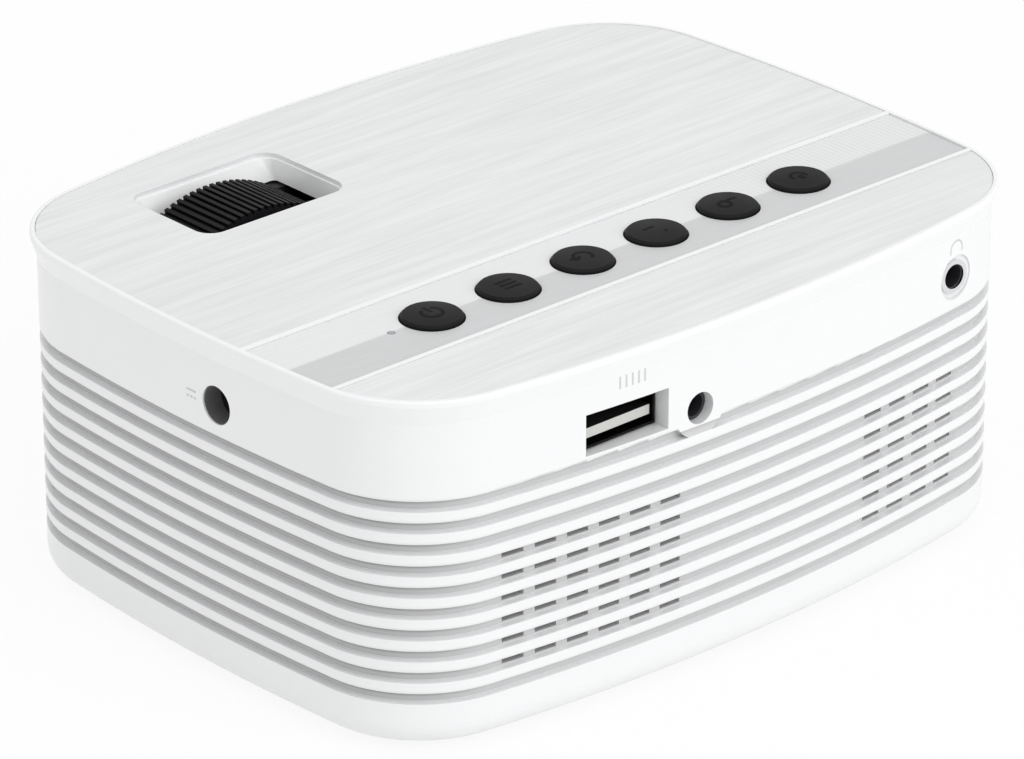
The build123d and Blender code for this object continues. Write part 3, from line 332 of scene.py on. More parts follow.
# Name, material, colour, roughness, axis of the grain
METALS = (
    ("screw", "screw_zinc", (0.56, 0.56, 0.57), 0.32, 0),
    ("socket", "socket_steel", (0.62, 0.62, 0.64), 0.28, 1),
    ("ring", "ring_nickel", (0.8, 0.8, 0.82), 0.18, 0),
    ("brass", "contact_brass", (0.78, 0.6, 0.3), 0.25, 1),
    ("sink", "sink_aluminium", (0.66, 0.67, 0.69), 0.38, 2),
    ("sleeve", "capacitor_sleeve", (0.42, 0.44, 0.5), 0.35, 2),
    ("iron", "magnet_iron", (0.22, 0.22, 0.23), 0.5, 1),
    # The USB shell's nickel is painted near black: painted shade inside the socket.
    ("nickel_painted_shade", "nickel_painted_shade", (0.02, 0.02, 0.021), 0.45, 1),
)


def make_mouldings(looks):
    """Plain mouldings, prints, rubber and felt."""
    grain, depth = looks.grain_size, looks.grain_depth
    for name, material, colour, roughness, size, rise, spread in (
            ("key", "key_black", looks.key_colour, 0.5, 0.2 * MM, 0.006 * MM, 0.12),
            ("sign", "key_sign", looks.sign_colour, 0.8, 0.12 * MM, 0.01 * MM, 0.2),
            ("print", "printed_grey", looks.print_colour, 0.6, 0.1 * MM, 0.004 * MM, 0.06),
            ("wheel", "wheel_black", looks.wheel_colour, 0.5, grain, depth, 0.2),
            ("black", "mould_black", looks.mould_black, 0.55, grain, depth, 0.2),
            ("inner", "inner_white", (0.66, 0.66, 0.64), 0.6, grain, depth, 0.04),
            ("tongue", "tongue_plastic", (0.62, 0.62, 0.6), 0.5, grain, depth, 0.04),
            ("reflector", "reflector_white", (0.82, 0.82, 0.8), 0.35, grain, depth, 0.03),
            ("rubber", "foot_rubber", looks.rubber_colour, 0.8, 0.25 * MM, 0.02 * MM, 0.25),
            ("chip", "chip_black", (0.03, 0.03, 0.033), 0.5, 0.1 * MM, 0.008 * MM, 0.15),
            ("grey", "inlet_grey", (0.17, 0.17, 0.175), 0.45, grain, depth, 0.1),
            ("phosphor", "led_phosphor", (0.85, 0.72, 0.2), 0.5, 0.15 * MM, 0.02 * MM, 0.1),
            ("guide", "light_guide", (0.55, 0.57, 0.6), 0.2, 0.2 * MM, 0.004 * MM, 0.05),
            ("paper", "cone_paper", (0.05, 0.05, 0.05), 0.9, 0.4 * MM, 0.03 * MM, 0.3),
            ("felt", "filter_felt", (0.012, 0.012, 0.012), 0.95, 0.5 * MM, 0.15 * MM, 0.5)):
        FINISHES[name] = moulded(material, colour, roughness, size, rise, spread)
    for name, level in (("key", 0.07), ("sign", 0.15), ("wheel", 0.12)):
        FINISHES[name].set("Specular IOR Level", level)
    FINISHES["guide"].set("Transmission Weight", 0.4)
    # The tongue is painted near black on every face that does not face out of the socket: painted shade inside
    # the socket.
    tongue = FINISHES["tongue"]
    tongue.paint(tongue.blend(tongue.facing(1, 0.5, 0.9), (0.01, 0.01, 0.01), tongue.colour))


def make_finishes(looks):
    """Every finish of the projector, by its name."""
    # The groove tones are painted shade in the grooves.
    tones = (looks.groove_shade, looks.groove_floor_painted_shade, looks.groove_end_painted_shade)
    FINISHES["case"] = ribbed_plastic("case_white", looks.case_colour, 0.3, tones)
    FINISHES["cap"] = polished_plastic("cap_white", looks.cap_colour, 0.26)
    FINISHES["plate"] = streaked_film("plate_film", looks.plate_colour, looks.case_colour, looks.streaks,
                                      0.006 * MM)
    FINISHES["strip"] = strip_with_painted_reflection("strip_painted_reflection", looks.strip_light, looks.strip_shade,
                                       box_centre("key_power").y - 0.2 * MM, -8 * MM)
    make_mouldings(looks)
    for name, material, colour, roughness, axis in METALS:
        FINISHES[name] = brushed_metal(material, colour, roughness, axis)
    for name, material, tint, film in (("glass", "lens_glass", (0.94, 0.97, 1.0), 260.0),
                                       ("rear_glass", "rear_lens_glass", (0.95, 0.98, 0.97), 340.0),
                                       ("heat_glass", "heat_glass", (0.8, 0.93, 0.9), 420.0)):
        FINISHES[name] = lens_glass(material, tint, film)
    for name, material, tint, pitch in (("fresnel", "fresnel_clear", (0.92, 0.94, 0.95), 0.5 * MM),
                                        ("panel", "panel_grey", (0.2, 0.21, 0.24), 0.25 * MM)):
        FINISHES[name] = ringed_pane(material, tint, tuple(LENS_AXIS), pitch)
    FINISHES["board"] = circuit_board("board_green", (0.02, 0.12, 0.06), (0.05, 0.26, 0.13))


def dress(finish, *nodes):
    """Gives CAD nodes one of the finishes."""
    for name in nodes:
        for slot in NODES[name].material_slots:
            slot.material = FINISHES[finish].material


# ---- Meshes ----

def add_piece(name, mesh, finish, body, smooth_angle=None):
    """Adds a finished mesh as a piece that rides on a body."""
    piece = bpy.data.objects.new(name, mesh)
    bpy.context.scene.collection.objects.link(piece)
    mesh.materials.clear()
    mesh.materials.append(FINISHES[finish].material)
    for face in mesh.polygons:
        face.material_index = 0
    if smooth_angle is not None:
        for face in mesh.polygons:
            face.use_smooth = True
        mesh.set_sharp_from_angle(angle=math.radians(smooth_angle))
    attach(piece, body)
    return piece


def mesh_from(bm, name, merge=0.0):
    """Closes a bmesh into a mesh with outward faces."""
    if merge:
        bmesh.ops.remove_doubles(bm, verts=bm.verts, dist=merge)
    bmesh.ops.recalc_face_normals(bm, faces=bm.faces)
    mesh = bpy.data.meshes.new(name)
    bm.to_mesh(mesh)
    bm.free()
    return mesh


def turned(profile, segments):
    """Surface turned about Z from (radius, height) points that end on the axis or where they start."""
    bm = bmesh.new()
    rings = []
    for radius, height in profile:
        if radius < 1e-9:
            rings.append([bm.verts.new((0, 0, height))])
            continue
        rings.append([bm.verts.new((radius * math.cos(math.tau * i / segments),
                                    radius * math.sin(math.tau * i / segments), height))
                      for i in range(segments)])
    for lower, upper in zip(rings, rings[1:]):
        for i in range(segments):
            j = (i + 1) % segments
            if len(lower) == 1:
                bm.faces.new((lower[0], upper[i], upper[j]))
            elif len(upper) == 1:
                bm.faces.new((lower[i], lower[j], upper[0]))
            else:
                bm.faces.new((lower[i], lower[j], upper[j], upper[i]))
    return bm


def arc(radius, start, end, centre=(0.0, 0.0), steps=20):
    """Points on an arc, angles in degrees from the sign's right."""
    angles = [math.radians(start + (end - start) * i / steps) for i in range(steps + 1)]
    return [(centre[0] + radius * math.cos(a), centre[1] + radius * math.sin(a)) for a in angles]


def cut_runs(line, longest):
    """The same line with more points on its long runs."""
    points = [line[0]]
    for (x0, y0), (x1, y1) in zip(line, line[1:]):
        pieces = max(1, math.ceil(math.hypot(x1 - x0, y1 - y0) / longest))
        points += [(x0 + (x1 - x0) * i / pieces, y0 + (y1 - y0) * i / pieces) for i in range(1, pieces + 1)]
    return points


def add_stroke(bm, line, width, lay):
    """A thin raised line; lay turns sign coordinates and a rise into a point on the object."""
    points = cut_runs(line, 0.35)
    rows = []
    for i, (x, y) in enumerate(points):
        x0, y0 = points[max(i - 1, 0)]
        x1, y1 = points[min(i + 1, len(points) - 1)]
        length = math.hypot(x1 - x0, y1 - y0) or 1.0
        across = (-(y1 - y0) / length * width / 2, (x1 - x0) / length * width / 2)
        rows.append([bm.verts.new(lay(x + side * across[0], y + side * across[1], level))
                     for side, level in ((-1, 0), (1, 0), (1, 1), (-1, 1))])
    for first, second in zip(rows, rows[1:]):
        for i in range(4):
            j = (i + 1) % 4
            bm.faces.new((first[i], first[j], second[j], second[i]))
    bm.faces.new(rows[0])
    bm.faces.new(list(reversed(rows[-1])))


def add_sign(name, lines, width, lay, finish, body):
    """Raised lines on a surface, as one piece."""
    bm = bmesh.new()
    for line in lines:
        add_stroke(bm, line, width / MM, lay)
    add_piece(name, mesh_from(bm, name), finish, body)


def small_bar(name, size, bevel, middle=(0, 0, 0)):
    """Mesh of a bar with bevelled edges."""
    bar = bmesh.new()
    place = Matrix.Translation(middle) @ Matrix.Diagonal((*size, 1.0))
    bmesh.ops.create_cube(bar, size=1.0, matrix=place)
    bmesh.ops.bevel(bar, geom=bar.edges[:], offset=bevel, segments=1, affect="EDGES")
    return mesh_from(bar, name)


def surface_of(node):
    """Search tree of a CAD node's surface, for laying signs on it."""
    mesh = NODES[node].data
    return BVHTree.FromPolygons([v.co for v in mesh.vertices], [p.vertices for p in mesh.polygons])


def laid_on(node, origin, right, up, rise, sink):
    """Function that drops sign coordinates in millimetres on a node's surface."""
    tree = surface_of(node)
    inwards = up.cross(right).normalized()
    origin = Vector(origin)

    def lay(x, y, level):
        start = origin + right * x * MM + up * y * MM - inwards * 20 * MM
        hit = tree.ray_cast(start, inwards, 0.06)[0]
        if hit is None:
            raise RuntimeError(f"a sign runs off {node}")
        return hit - inwards * (rise if level else -sink)

    return lay


# ---- Geometry node trees ----

class Grower(NodeLayout):
    """A geometry node tree with named inputs."""

    def __init__(self, name, inputs):
        self.tree = bpy.data.node_groups.new(name, "GeometryNodeTree")
        face = self.tree.interface
        face.new_socket("Geometry", in_out="OUTPUT", socket_type="NodeSocketGeometry")
        for label, kind in inputs:
            face.new_socket(label, in_out="INPUT", socket_type=kind)
        self.inputs = self.tree.nodes.new("NodeGroupInput").outputs
        self.result = self.tree.nodes.new("NodeGroupOutput")

    def along(self, axis, value):
        """Vector of that length along an axis."""
        return self.node("ShaderNodeCombineXYZ", ((axis, value),)).outputs[0]

    def wire(self, path, radius, sides, caps=False):
        """Round wire along a curve."""
        outline = self.node("GeometryNodeCurvePrimitiveCircle", (("Resolution", sides), ("Radius", radius)))
        inputs = (("Curve", path.outputs[0]), ("Profile Curve", outline.outputs[0]), ("Fill Caps", caps))
        return self.node("GeometryNodeCurveToMesh", inputs).outputs[0]

    def copies(self, points, shape):
        """A copy of the shape at each point."""
        return self.node("GeometryNodeInstanceOnPoints", (("Points", points), ("Instance", shape))).outputs[0]

    def close(self, geometry):
        """Ends the tree in real geometry with its material."""
        real = self.node("GeometryNodeRealizeInstances", ((0, geometry),))
        painted = self.node("GeometryNodeSetMaterial", (("Geometry", real.outputs[0]),
                                                        ("Material", self.inputs["Material"])))
        self.tree.links.new(painted.outputs[0], self.result.inputs[0])


def grow(name, tree, values, place=Matrix.Identity(4)):
    """Plain mesh of a tree's result, moved to its place."""
    holder = bpy.data.objects.new(name + "_holder", bpy.data.meshes.new(name + "_holder"))
    bpy.context.scene.collection.objects.link(holder)
    modifier = holder.modifiers.new("grow", "NODES")
    modifier.node_group = tree
    for item in tree.interface.items_tree:
        if item.item_type == "SOCKET" and item.in_out == "INPUT":
            modifier[item.identifier] = values[item.name]
    bpy.context.view_layer.update()
    holder.update_tag()
    graph = bpy.context.evaluated_depsgraph_get()
    mesh = bpy.data.meshes.new_from_object(holder.evaluated_get(graph))
    holder.modifiers.clear()
    bpy.data.objects.remove(holder)
    mesh.transform(place)
    mesh.name = name
    return mesh


def grid_tree():
    """Copies one shape to the crossings of a flat grid."""
    grower = Grower("set_on_grid", (("Shape", "NodeSocketObject"), ("Length", "NodeSocketFloat"),
                                    ("Width", "NodeSocketFloat"), ("Columns", "NodeSocketInt"),
                                    ("Rows", "NodeSocketInt"), ("Material", "NodeSocketMaterial")))
    pins = grower.inputs
    inputs = (("Size X", pins["Length"]), ("Size Y", pins["Width"]), ("Vertices X", pins["Columns"]),
              ("Vertices Y", pins["Rows"]))
    grid = grower.node("GeometryNodeMeshGrid", inputs).outputs["Mesh"]
    shape = grower.node("GeometryNodeObjectInfo", (("Object", pins["Shape"]),)).outputs["Geometry"]
    grower.close(grower.copies(grid, shape))
    return grower.tree


def set_out(name, shape, place, span, counts, finish):
    """Mesh of one shape's copies, set out on a grid of that length and width."""
    copied = bpy.data.objects.new(name + "_shape", shape)
    tree = bpy.data.node_groups.get("set_on_grid") or grid_tree()
    values = {"Shape": copied, "Length": span[0], "Width": span[1], "Columns": counts[0], "Rows": counts[1],
              "Material": FINISHES[finish].material}
    return grow(name, tree, values, place)


def ring_tree():
    """Wire rings, one behind the other along Z."""
    grower = Grower("stack_rings", (("Radius", "NodeSocketFloat"), ("Wire", "NodeSocketFloat"),
                                    ("Pitch", "NodeSocketFloat"), ("Count", "NodeSocketInt"),
                                    ("Material", "NodeSocketMaterial")))
    pins = grower.inputs
    path = grower.node("GeometryNodeCurvePrimitiveCircle", (("Resolution", 72), ("Radius", pins["Radius"])))
    inputs = (("Count", pins["Count"]), ("Offset", grower.along("Z", pins["Pitch"])))
    row = grower.node("GeometryNodeMeshLine", inputs).outputs[0]
    grower.close(grower.copies(row, grower.wire(path, pins["Wire"], 8)))
    return grower.tree


def net_tree():
    """Flat net of crossed round wires."""
    grower = Grower("weave_net", (("Length", "NodeSocketFloat"), ("Width", "NodeSocketFloat"),
                                  ("Columns", "NodeSocketInt"), ("Rows", "NodeSocketInt"),
                                  ("Wire", "NodeSocketFloat"), ("Material", "NodeSocketMaterial")))
    pins = grower.inputs
    joined = grower.node("GeometryNodeJoinGeometry")
    for count, span, reach, axis, across in (("Columns", "Length", "Width", "X", "Y"),
                                             ("Rows", "Width", "Length", "Y", "X")):
        start = grower.along(axis, grower.maths("MULTIPLY", pins[span], -0.5))
        pitch = grower.maths("DIVIDE", pins[span], grower.maths("SUBTRACT", pins[count], 1.0))
        inputs = (("Count", pins[count]), ("Start Location", start), ("Offset", grower.along(axis, pitch)))
        row = grower.node("GeometryNodeMeshLine", inputs).outputs[0]
        first, last = (grower.along(across, grower.maths("MULTIPLY", pins[reach], end)) for end in (-0.5, 0.5))
        line = grower.node("GeometryNodeCurvePrimitiveLine", (("Start", first), ("End", last)))
        wires = grower.copies(row, grower.wire(line, pins["Wire"], 6, caps=True))
        grower.tree.links.new(wires, joined.inputs[0])
    grower.close(joined.outputs[0])
    return grower.tree


# ---- Sizes and colours that a user would change ----

def colour_property(name, description, default):
    """A linear colour."""
    return FloatVectorProperty(name=name, description=description, default=default, size=3, min=0.0, max=1.0,
                               subtype="COLOR")


def number_property(name, description, default, low, high, **settings):
    """A plain number between two limits."""
    kind = IntProperty if isinstance(default, int) else FloatProperty
    return kind(name=name, description=description, default=default, min=low, max=high, **settings)


def length_property(name, description, millimetres):
    """A length, shown with its unit."""
    return FloatProperty(name=name, description=description, default=millimetres * MM, min=0.0, precision=5,
                         subtype="DISTANCE", unit="LENGTH")


def angle_property(name, description, degrees):
    """An angle, shown in degrees."""
    return FloatProperty(name=name, description=description, default=math.radians(degrees), subtype="ANGLE")


class ProjectorLooks(bpy.types.PropertyGroup):
    """Colours and surface of the mouldings."""

    case_colour: colour_property("Case", "Colour of the ribbed case and the base", (0.86, 0.865, 0.87))
    # The three groove colours are painted shade: a painted shadow just under each rib and grey floors, darker
    # on the ends.
    groove_shade: colour_property("Groove Shade", "Colour of the grooves just under a rib", (0.1, 0.1, 0.102))
    groove_floor_painted_shade: colour_property("Grooves", "Colour of the grooves on the long walls", (0.6, 0.6, 0.605))
    groove_end_painted_shade: colour_property("End Grooves", "Colour of the grooves on the ends", (0.5, 0.5, 0.505))
    cap_colour: colour_property("Cap", "Colour of the top cover's rim", (0.88, 0.885, 0.89))
    plate_colour: colour_property("Plates", "Colour of the two streaked plates", (0.775, 0.78, 0.785))
    # The strip's light far half is a painted reflection; the grey near half is the strip's own tone.
    strip_light: colour_property("Strip, light", "Far half of the key strip", (0.78, 0.785, 0.79))
    strip_shade: colour_property("Strip, grey", "Near half of the key strip", (0.6, 0.605, 0.61))
    key_colour: colour_property("Keys", "Colour of the key caps", (0.012, 0.012, 0.013))
    sign_colour: colour_property("Key signs", "Colour of the signs on the keys", (0.003, 0.003, 0.003))
    print_colour: colour_property("Prints", "Colour of the small prints beside the sockets", (0.6, 0.6, 0.61))
    wheel_colour: colour_property("Focus wheel", "Colour of the knurled wheel", (0.004, 0.004, 0.005))
    mould_black: colour_property("Black mouldings", "Lens barrel, hood and inner parts", (0.018, 0.018, 0.02))
    rubber_colour: colour_property("Feet", "Colour of the rubber feet", (0.03, 0.03, 0.03))
    streaks: number_property("Streaks", "Strength of the plates' streaks", 0.075, 0.0, 0.4, subtype="FACTOR")
    grain_size: length_property("Grain", "Width of the moulded grain", 0.22)
    grain_depth: length_property("Grain depth", "Depth of the moulded grain", 0.012)


class ProjectorFittings(bpy.types.PropertyGroup):
    """Sizes of the small pieces."""

    sign_width: length_property("Sign line", "Width of the lines of the key signs", 0.54)
    print_width: length_property("Print line", "Width of the lines of the small prints", 0.32)
    sign_rise: length_property("Sign rise", "Height of signs above what they lie on", 0.02)
    baffle_count: number_property("Baffles", "Anti-glare rings inside the lens hood", 5, 1, 12)
    baffle_wire: length_property("Baffle ring", "Half the thickness of a baffle ring", 0.16)
    tread_grooves: number_property("Foot grooves", "Grooves in the sole of each foot", 3, 0, 6)
    net_wire: length_property("Net wire", "Half the thickness of the dust net's wires", 0.09)
    net_pitch: length_property("Net pitch", "Distance between the wires of the dust net", 1.2)
    thread_pitch: length_property("Thread pitch", "Distance between the screws' threads", 0.8)
    leg_pitch: length_property("Leg pitch", "Distance between the legs of the chips", 0.8)


class ProjectorStage(bpy.types.PropertyGroup):
    """Camera and light."""

    lens: number_property("Lens", "Focal length on a 36 mm wide sensor, in millimetres", 218.46, 20.0, 600.0)
    camera_place: FloatVectorProperty(name="Camera", description="Where the camera stands", size=3,
                                      default=(0.553926, 0.614205, 0.413537), subtype="TRANSLATION")
    azimuth: angle_property("Azimuth", "Viewing direction about the vertical", 138.02)
    elevation: angle_property("Elevation", "Viewing direction above the horizon", 25.113)
    roll: angle_property("Roll", "Turn of the camera about its own axis", -0.127)
    sky: number_property("Sky", "Strength of the even light", 0.7, 0.0, 2.0)
    rear_lamp: number_property("Rear lamp", "Power of the softbox behind the sockets", 7.8, 0.0, 60.0)
    top_lamp: number_property("Top lamp", "Power of the softbox overhead", 3.6, 0.0, 60.0)
    side_lamp: number_property("Side lamp", "Power of the softbox on the inlet's side", 1.8, 0.0, 60.0)
    floor_white: number_property("Floor glow", "How far the floor is whitened for the eye", 0.9, 0.0, 1.0,
                                 subtype="FACTOR")


# ---- Operators ----

class StageOperator(bpy.types.Operator):
    """Set up the camera, the floor and the soft light"""

    bl_idname = "projector.stage"
    bl_label = "Camera and Light"

    def execute(self, context):
        stage = context.scene.projector_stage
        az, el, roll = stage.azimuth, stage.elevation, stage.roll
        back = Vector((math.sin(az) * math.cos(el), -math.cos(az) * math.cos(el), math.sin(el)))
        right = UP.cross(back).normalized()
        up = back.cross(right)
        across = right * math.cos(roll) + up * math.sin(roll)
        upward = up * math.cos(roll) - right * math.sin(roll)
        camera = bpy.data.objects.new("camera", bpy.data.cameras.new("camera"))
        camera.data.sensor_width = 36.0
        camera.data.sensor_fit = "HORIZONTAL"
        camera.data.lens = stage.lens
        camera.data.clip_start = 0.05
        camera.matrix_world = (Matrix.Translation(stage.camera_place)
                               @ Matrix((across, upward, back)).transposed().to_4x4())
        context.scene.collection.objects.link(camera)
        context.scene.camera = camera
        context.scene.view_settings.view_transform = "Standard"
        self.light_sky(context, stage)
        self.lay_floor(context, stage)
        for name, place, size, power in (("rear_softbox", (-0.25, 1.3, 0.75), 1.0, stage.rear_lamp),
                                         ("top_softbox", (0.1, 0.1, 1.5), 1.2, stage.top_lamp),
                                         ("side_softbox", (1.4, -0.2, 0.6), 1.0, stage.side_lamp)):
            lamp = bpy.data.lights.new(name, "AREA")
            lamp.size = size
            lamp.energy = power
            holder = bpy.data.objects.new(name, lamp)
            holder.location = place
            holder.rotation_euler = (Vector(place) - Vector((0, 0, 0.03))).to_track_quat("Z", "Y").to_euler()
            context.scene.collection.objects.link(holder)
        return {"FINISHED"}

    def seen_directly(self, tree):
        """1 for rays from the eye, from gloss and through glass."""
        path = add_node(tree, "ShaderNodeLightPath").outputs
        total = path["Is Camera Ray"]
        for label in ("Is Glossy Ray", "Is Transmission Ray"):
            inputs = ((0, total), (1, path[label]))
            total = add_node(tree, "ShaderNodeMath", inputs, operation="MAXIMUM").outputs[0]
        return total

    def light_sky(self, context, stage):
        """Even sky light, white where it is seen."""
        world = bpy.data.worlds.new("sky")
        world.use_nodes = True
        context.scene.world = world
        tree = world.node_tree
        inputs = (("Value", self.seen_directly(tree)), ("To Min", stage.sky), ("To Max", 1.0))
        level = add_node(tree, "ShaderNodeMapRange", inputs).outputs[0]
        background = tree.nodes["Background"]
        background.inputs["Color"].default_value = (1.0, 1.0, 1.0, 1.0)
        tree.links.new(level, background.inputs["Strength"])

    def lay_floor(self, context, stage):
        """Plain white floor that keeps a soft shadow."""
        half = 4.0
        mesh = bpy.data.meshes.new("floor")
        corners = [(-half, -half, 0), (half, -half, 0), (half, half, 0), (-half, half, 0)]
        mesh.from_pydata(corners, [], [(0, 1, 2, 3)])
        floor = bpy.data.objects.new("floor", mesh)
        context.scene.collection.objects.link(floor)
        material = bpy.data.materials.new("floor_paper")
        material.use_nodes = True
        tree = material.node_tree
        paper = tree.nodes["Principled BSDF"]
        for socket, value in (("Base Color", (0.93, 0.93, 0.93, 1.0)), ("Roughness", 0.9),
                              ("Specular IOR Level", 0.1)):
            paper.inputs[socket].default_value = value
        glow = add_node(tree, "ShaderNodeEmission")
        inputs = ((0, self.seen_directly(tree)), (1, stage.floor_white))
        share = add_node(tree, "ShaderNodeMath", inputs, operation="MULTIPLY")
        inputs = ((0, share.outputs[0]), (1, paper.outputs[0]), (2, glow.outputs[0]))
        mix = add_node(tree, "ShaderNodeMixShader", inputs)
        tree.links.new(mix.outputs[0], tree.nodes["Material Output"].inputs["Surface"])
        mesh.materials.append(material)


class FinishOperator(bpy.types.Operator):
    """Mix the projector's finishes"""

    bl_idname = "projector.finishes"
    bl_label = "Finishes"

    def execute(self, context):
        make_finishes(context.scene.projector_looks)
        return {"FINISHED"}


class CaseOperator(bpy.types.Operator):
    """Finish the ribbed case, the top cover, its plates and the key strip"""

    bl_idname = "projector.case"
    bl_label = "Case and Top"

    def execute(self, context):
        dress("cap", "top_cover")
        dress("plate", "front_plate", "rear_plate")
        dress("strip", "button_strip")
        dress("case", "body_shell", "base_cover")
        return {"FINISHED"}


class KeyOperator(bpy.types.Operator):
    """Finish the six keys and draw their signs"""

    bl_idname = "projector.keys"
    bl_label = "Keys and Signs"

    def signs(self):
        """Lines of each key's sign, in millimetres from the key's middle."""
        return {
            "power": [arc(1.55, 60, -240), [(0, 0.1), (0, 2.0)]],
            "menu": [[(-1.5, y), (1.5, y)] for y in (-1.1, 0.0, 1.1)],
            "back": [arc(1.4, -60, 190), [(-2.1, 0.5), (-1.4, -0.5), (-0.5, 0.2)]],
            "enter": [[(-1.7, 0.9), (0.3, 0.9)], [(0.5, -1.2), (1.1, -1.2)]],
            "minus": [arc(0.95, 0, 350, (-0.8, -0.2)), [(0.4, 0.6), (2.0, 0.6)]],
            "plus": [arc(1.2, -30, 200), [(-0.3, -0.9), (0.5, -0.9)], [(-0.3, -0.2), (0.5, -0.2)]],
        }

    def execute(self, context):
        fittings = context.scene.projector_fittings
        for name, lines in self.signs().items():
            dress("key", f"key_{name}")
            dress("inner", f"switch_stem_{name}")
            centre = box_centre(f"key_{name}")
            lay = laid_on(f"key_{name}", centre, RIGHT_FROM_BEHIND, Vector((0, -1, 0)), fittings.sign_rise,
                          fittings.sign_rise)
            add_sign(f"sign_{name}", lines, fittings.sign_width, lay, "sign", f"{name}_key")
        dress("chip", "switch_bodies")
        dress("board", "key_board")
        dress("phosphor", "status_led")
        dress("guide", "light_pipe")
        return {"FINISHED"}


class PrintOperator(bpy.types.Operator):
    """Print the small signs beside the sockets"""

    bl_idname = "projector.prints"
    bl_label = "Socket Signs"

    def execute(self, context):
        fittings = context.scene.projector_fittings
        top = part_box("top_cover")[1][2]
        phone = box_centre("headphone_ring")
        plug = box_centre("usb_shell")
        power = box_centre("dc_jack")
        behind, beyond_end = 60 * MM, 70 * MM
        prints = {
            "headphone": (phone.x, behind, top - 5.45 * MM, RIGHT_FROM_BEHIND,
                          [arc(1.35, 0, 180, (0, -0.4)), [(-1.35, -0.4), (-1.35, -0.95)],
                           [(1.35, -0.4), (1.35, -0.95)]]),
            "plug": (plug.x - 0.8 * MM, behind, top - 4.9 * MM, RIGHT_FROM_BEHIND,
                     [[(1.1 * i, -0.95), (1.1 * i, 0.95)] for i in range(-2, 3)]),
            "inlet": (beyond_end, power.y - 5.4 * MM, power.z, Vector((0, 1, 0)),
                      [[(-1.0, 0.5), (1.0, 0.5)], [(-1.0, -0.5), (-0.5, -0.5)], [(-0.2, -0.5), (0.3, -0.5)],
                       [(0.6, -0.5), (1.0, -0.5)]]),
        }
        for name, (x, y, z, right, lines) in prints.items():
            lay = laid_on("body_shell", (x, y, z), right, UP, fittings.sign_rise / 2, fittings.sign_rise)
            add_sign(f"print_{name}", lines, fittings.print_width, lay, "print", "case")
        return {"FINISHED"}


class SocketOperator(bpy.types.Operator):
    """Finish the sockets and add their contacts"""

    bl_idname = "projector.sockets"
    bl_label = "Sockets"

    def execute(self, context):
        # The USB shell is painted near black: painted shade inside the socket.
        dress("nickel_painted_shade", "usb_shell")
        # The tongue's inner faces are painted near black: painted shade inside the socket.
        dress("tongue", "usb_insulator")
        dress("chip", "av_jack", "headphone_jack", "dc_jack")
        dress("ring", "headphone_ring")
        dress("brass", "dc_pin")
        self.add_contacts()
        self.line_inlet()
        return {"FINISHED"}

    def add_contacts(self):
        """Four brass contacts under the USB tongue."""
        length = 7.5 * MM
        low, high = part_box("usb_insulator")
        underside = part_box("usb_shell")[1][2] - 4.45 * MM
        place = Matrix.Translation(((low[0] + high[0]) / 2, high[1] - 5.2 * MM, underside))
        shape = small_bar("usb_contact_shape", (1.1 * MM, length, 0.16 * MM), 0.05 * MM)
        mesh = set_out("usb_contacts", shape, place, (length, 0.0), (4, 1), "brass")
        add_piece("usb_contacts", mesh, "brass", "case")

    def line_inlet(self):
        """A thin grey sleeve inside the inlet's hole in the end wall."""
        axis = box_centre("dc_pin")
        outer, inner = 2.88 * MM, 2.78 * MM
        outside = Vector((0.1, axis.y - 3.2 * MM, axis.z))
        wall = surface_of("body_shell").ray_cast(outside, Vector((-1, 0, 0)), 0.06)[0]
        near, far = wall.x - 0.25 * MM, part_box("dc_jack")[1][0] + 0.02 * MM
        profile = [(outer, near), (outer, far), (inner, far), (inner, near), (outer, near)]
        bm = turned(profile, 48)
        place = Matrix.Translation((0, axis.y, axis.z)) @ Matrix.Rotation(math.pi / 2, 4, "Y")
        bmesh.ops.transform(bm, matrix=place, verts=bm.verts)
        mesh = mesh_from(bm, "inlet_sleeve", 0.001 * MM)
        add_piece("inlet_sleeve", mesh, "grey", "case", 40)


class LensOperator(bpy.types.Operator):
    """Finish the focus wheel, the lens and its hood, and add the anti-glare rings"""

    bl_idname = "projector.lens"
    bl_label = "Lens and Focus Wheel"

    def execute(self, context):
        fittings = context.scene.projector_fittings
        dress("wheel", "focus_ring")
        dress("black", "lens_barrel", "lens_retainer", "lens_hood", "lens_mount")
        dress("glass", "front_lens")
        dress("rear_glass", "rear_lens")
        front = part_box("lens_hood")[0][1]
        bore, pitch = 15.0 * MM, 0.5 * MM
        values = {"Radius": bore - fittings.baffle_wire / 2, "Wire": fittings.baffle_wire, "Pitch": pitch,
                  "Count": fittings.baffle_count, "Material": FINISHES["black"].material}
        place = (Matrix.Translation((LENS_AXIS.x, front + pitch, LENS_AXIS.z))
                 @ Matrix.Rotation(-math.pi / 2, 4, "X"))
        mesh = grow("hood_baffles", ring_tree(), values, place)
        add_piece("hood_baffles", mesh, "black", "case", 40)
        return {"FINISHED"}


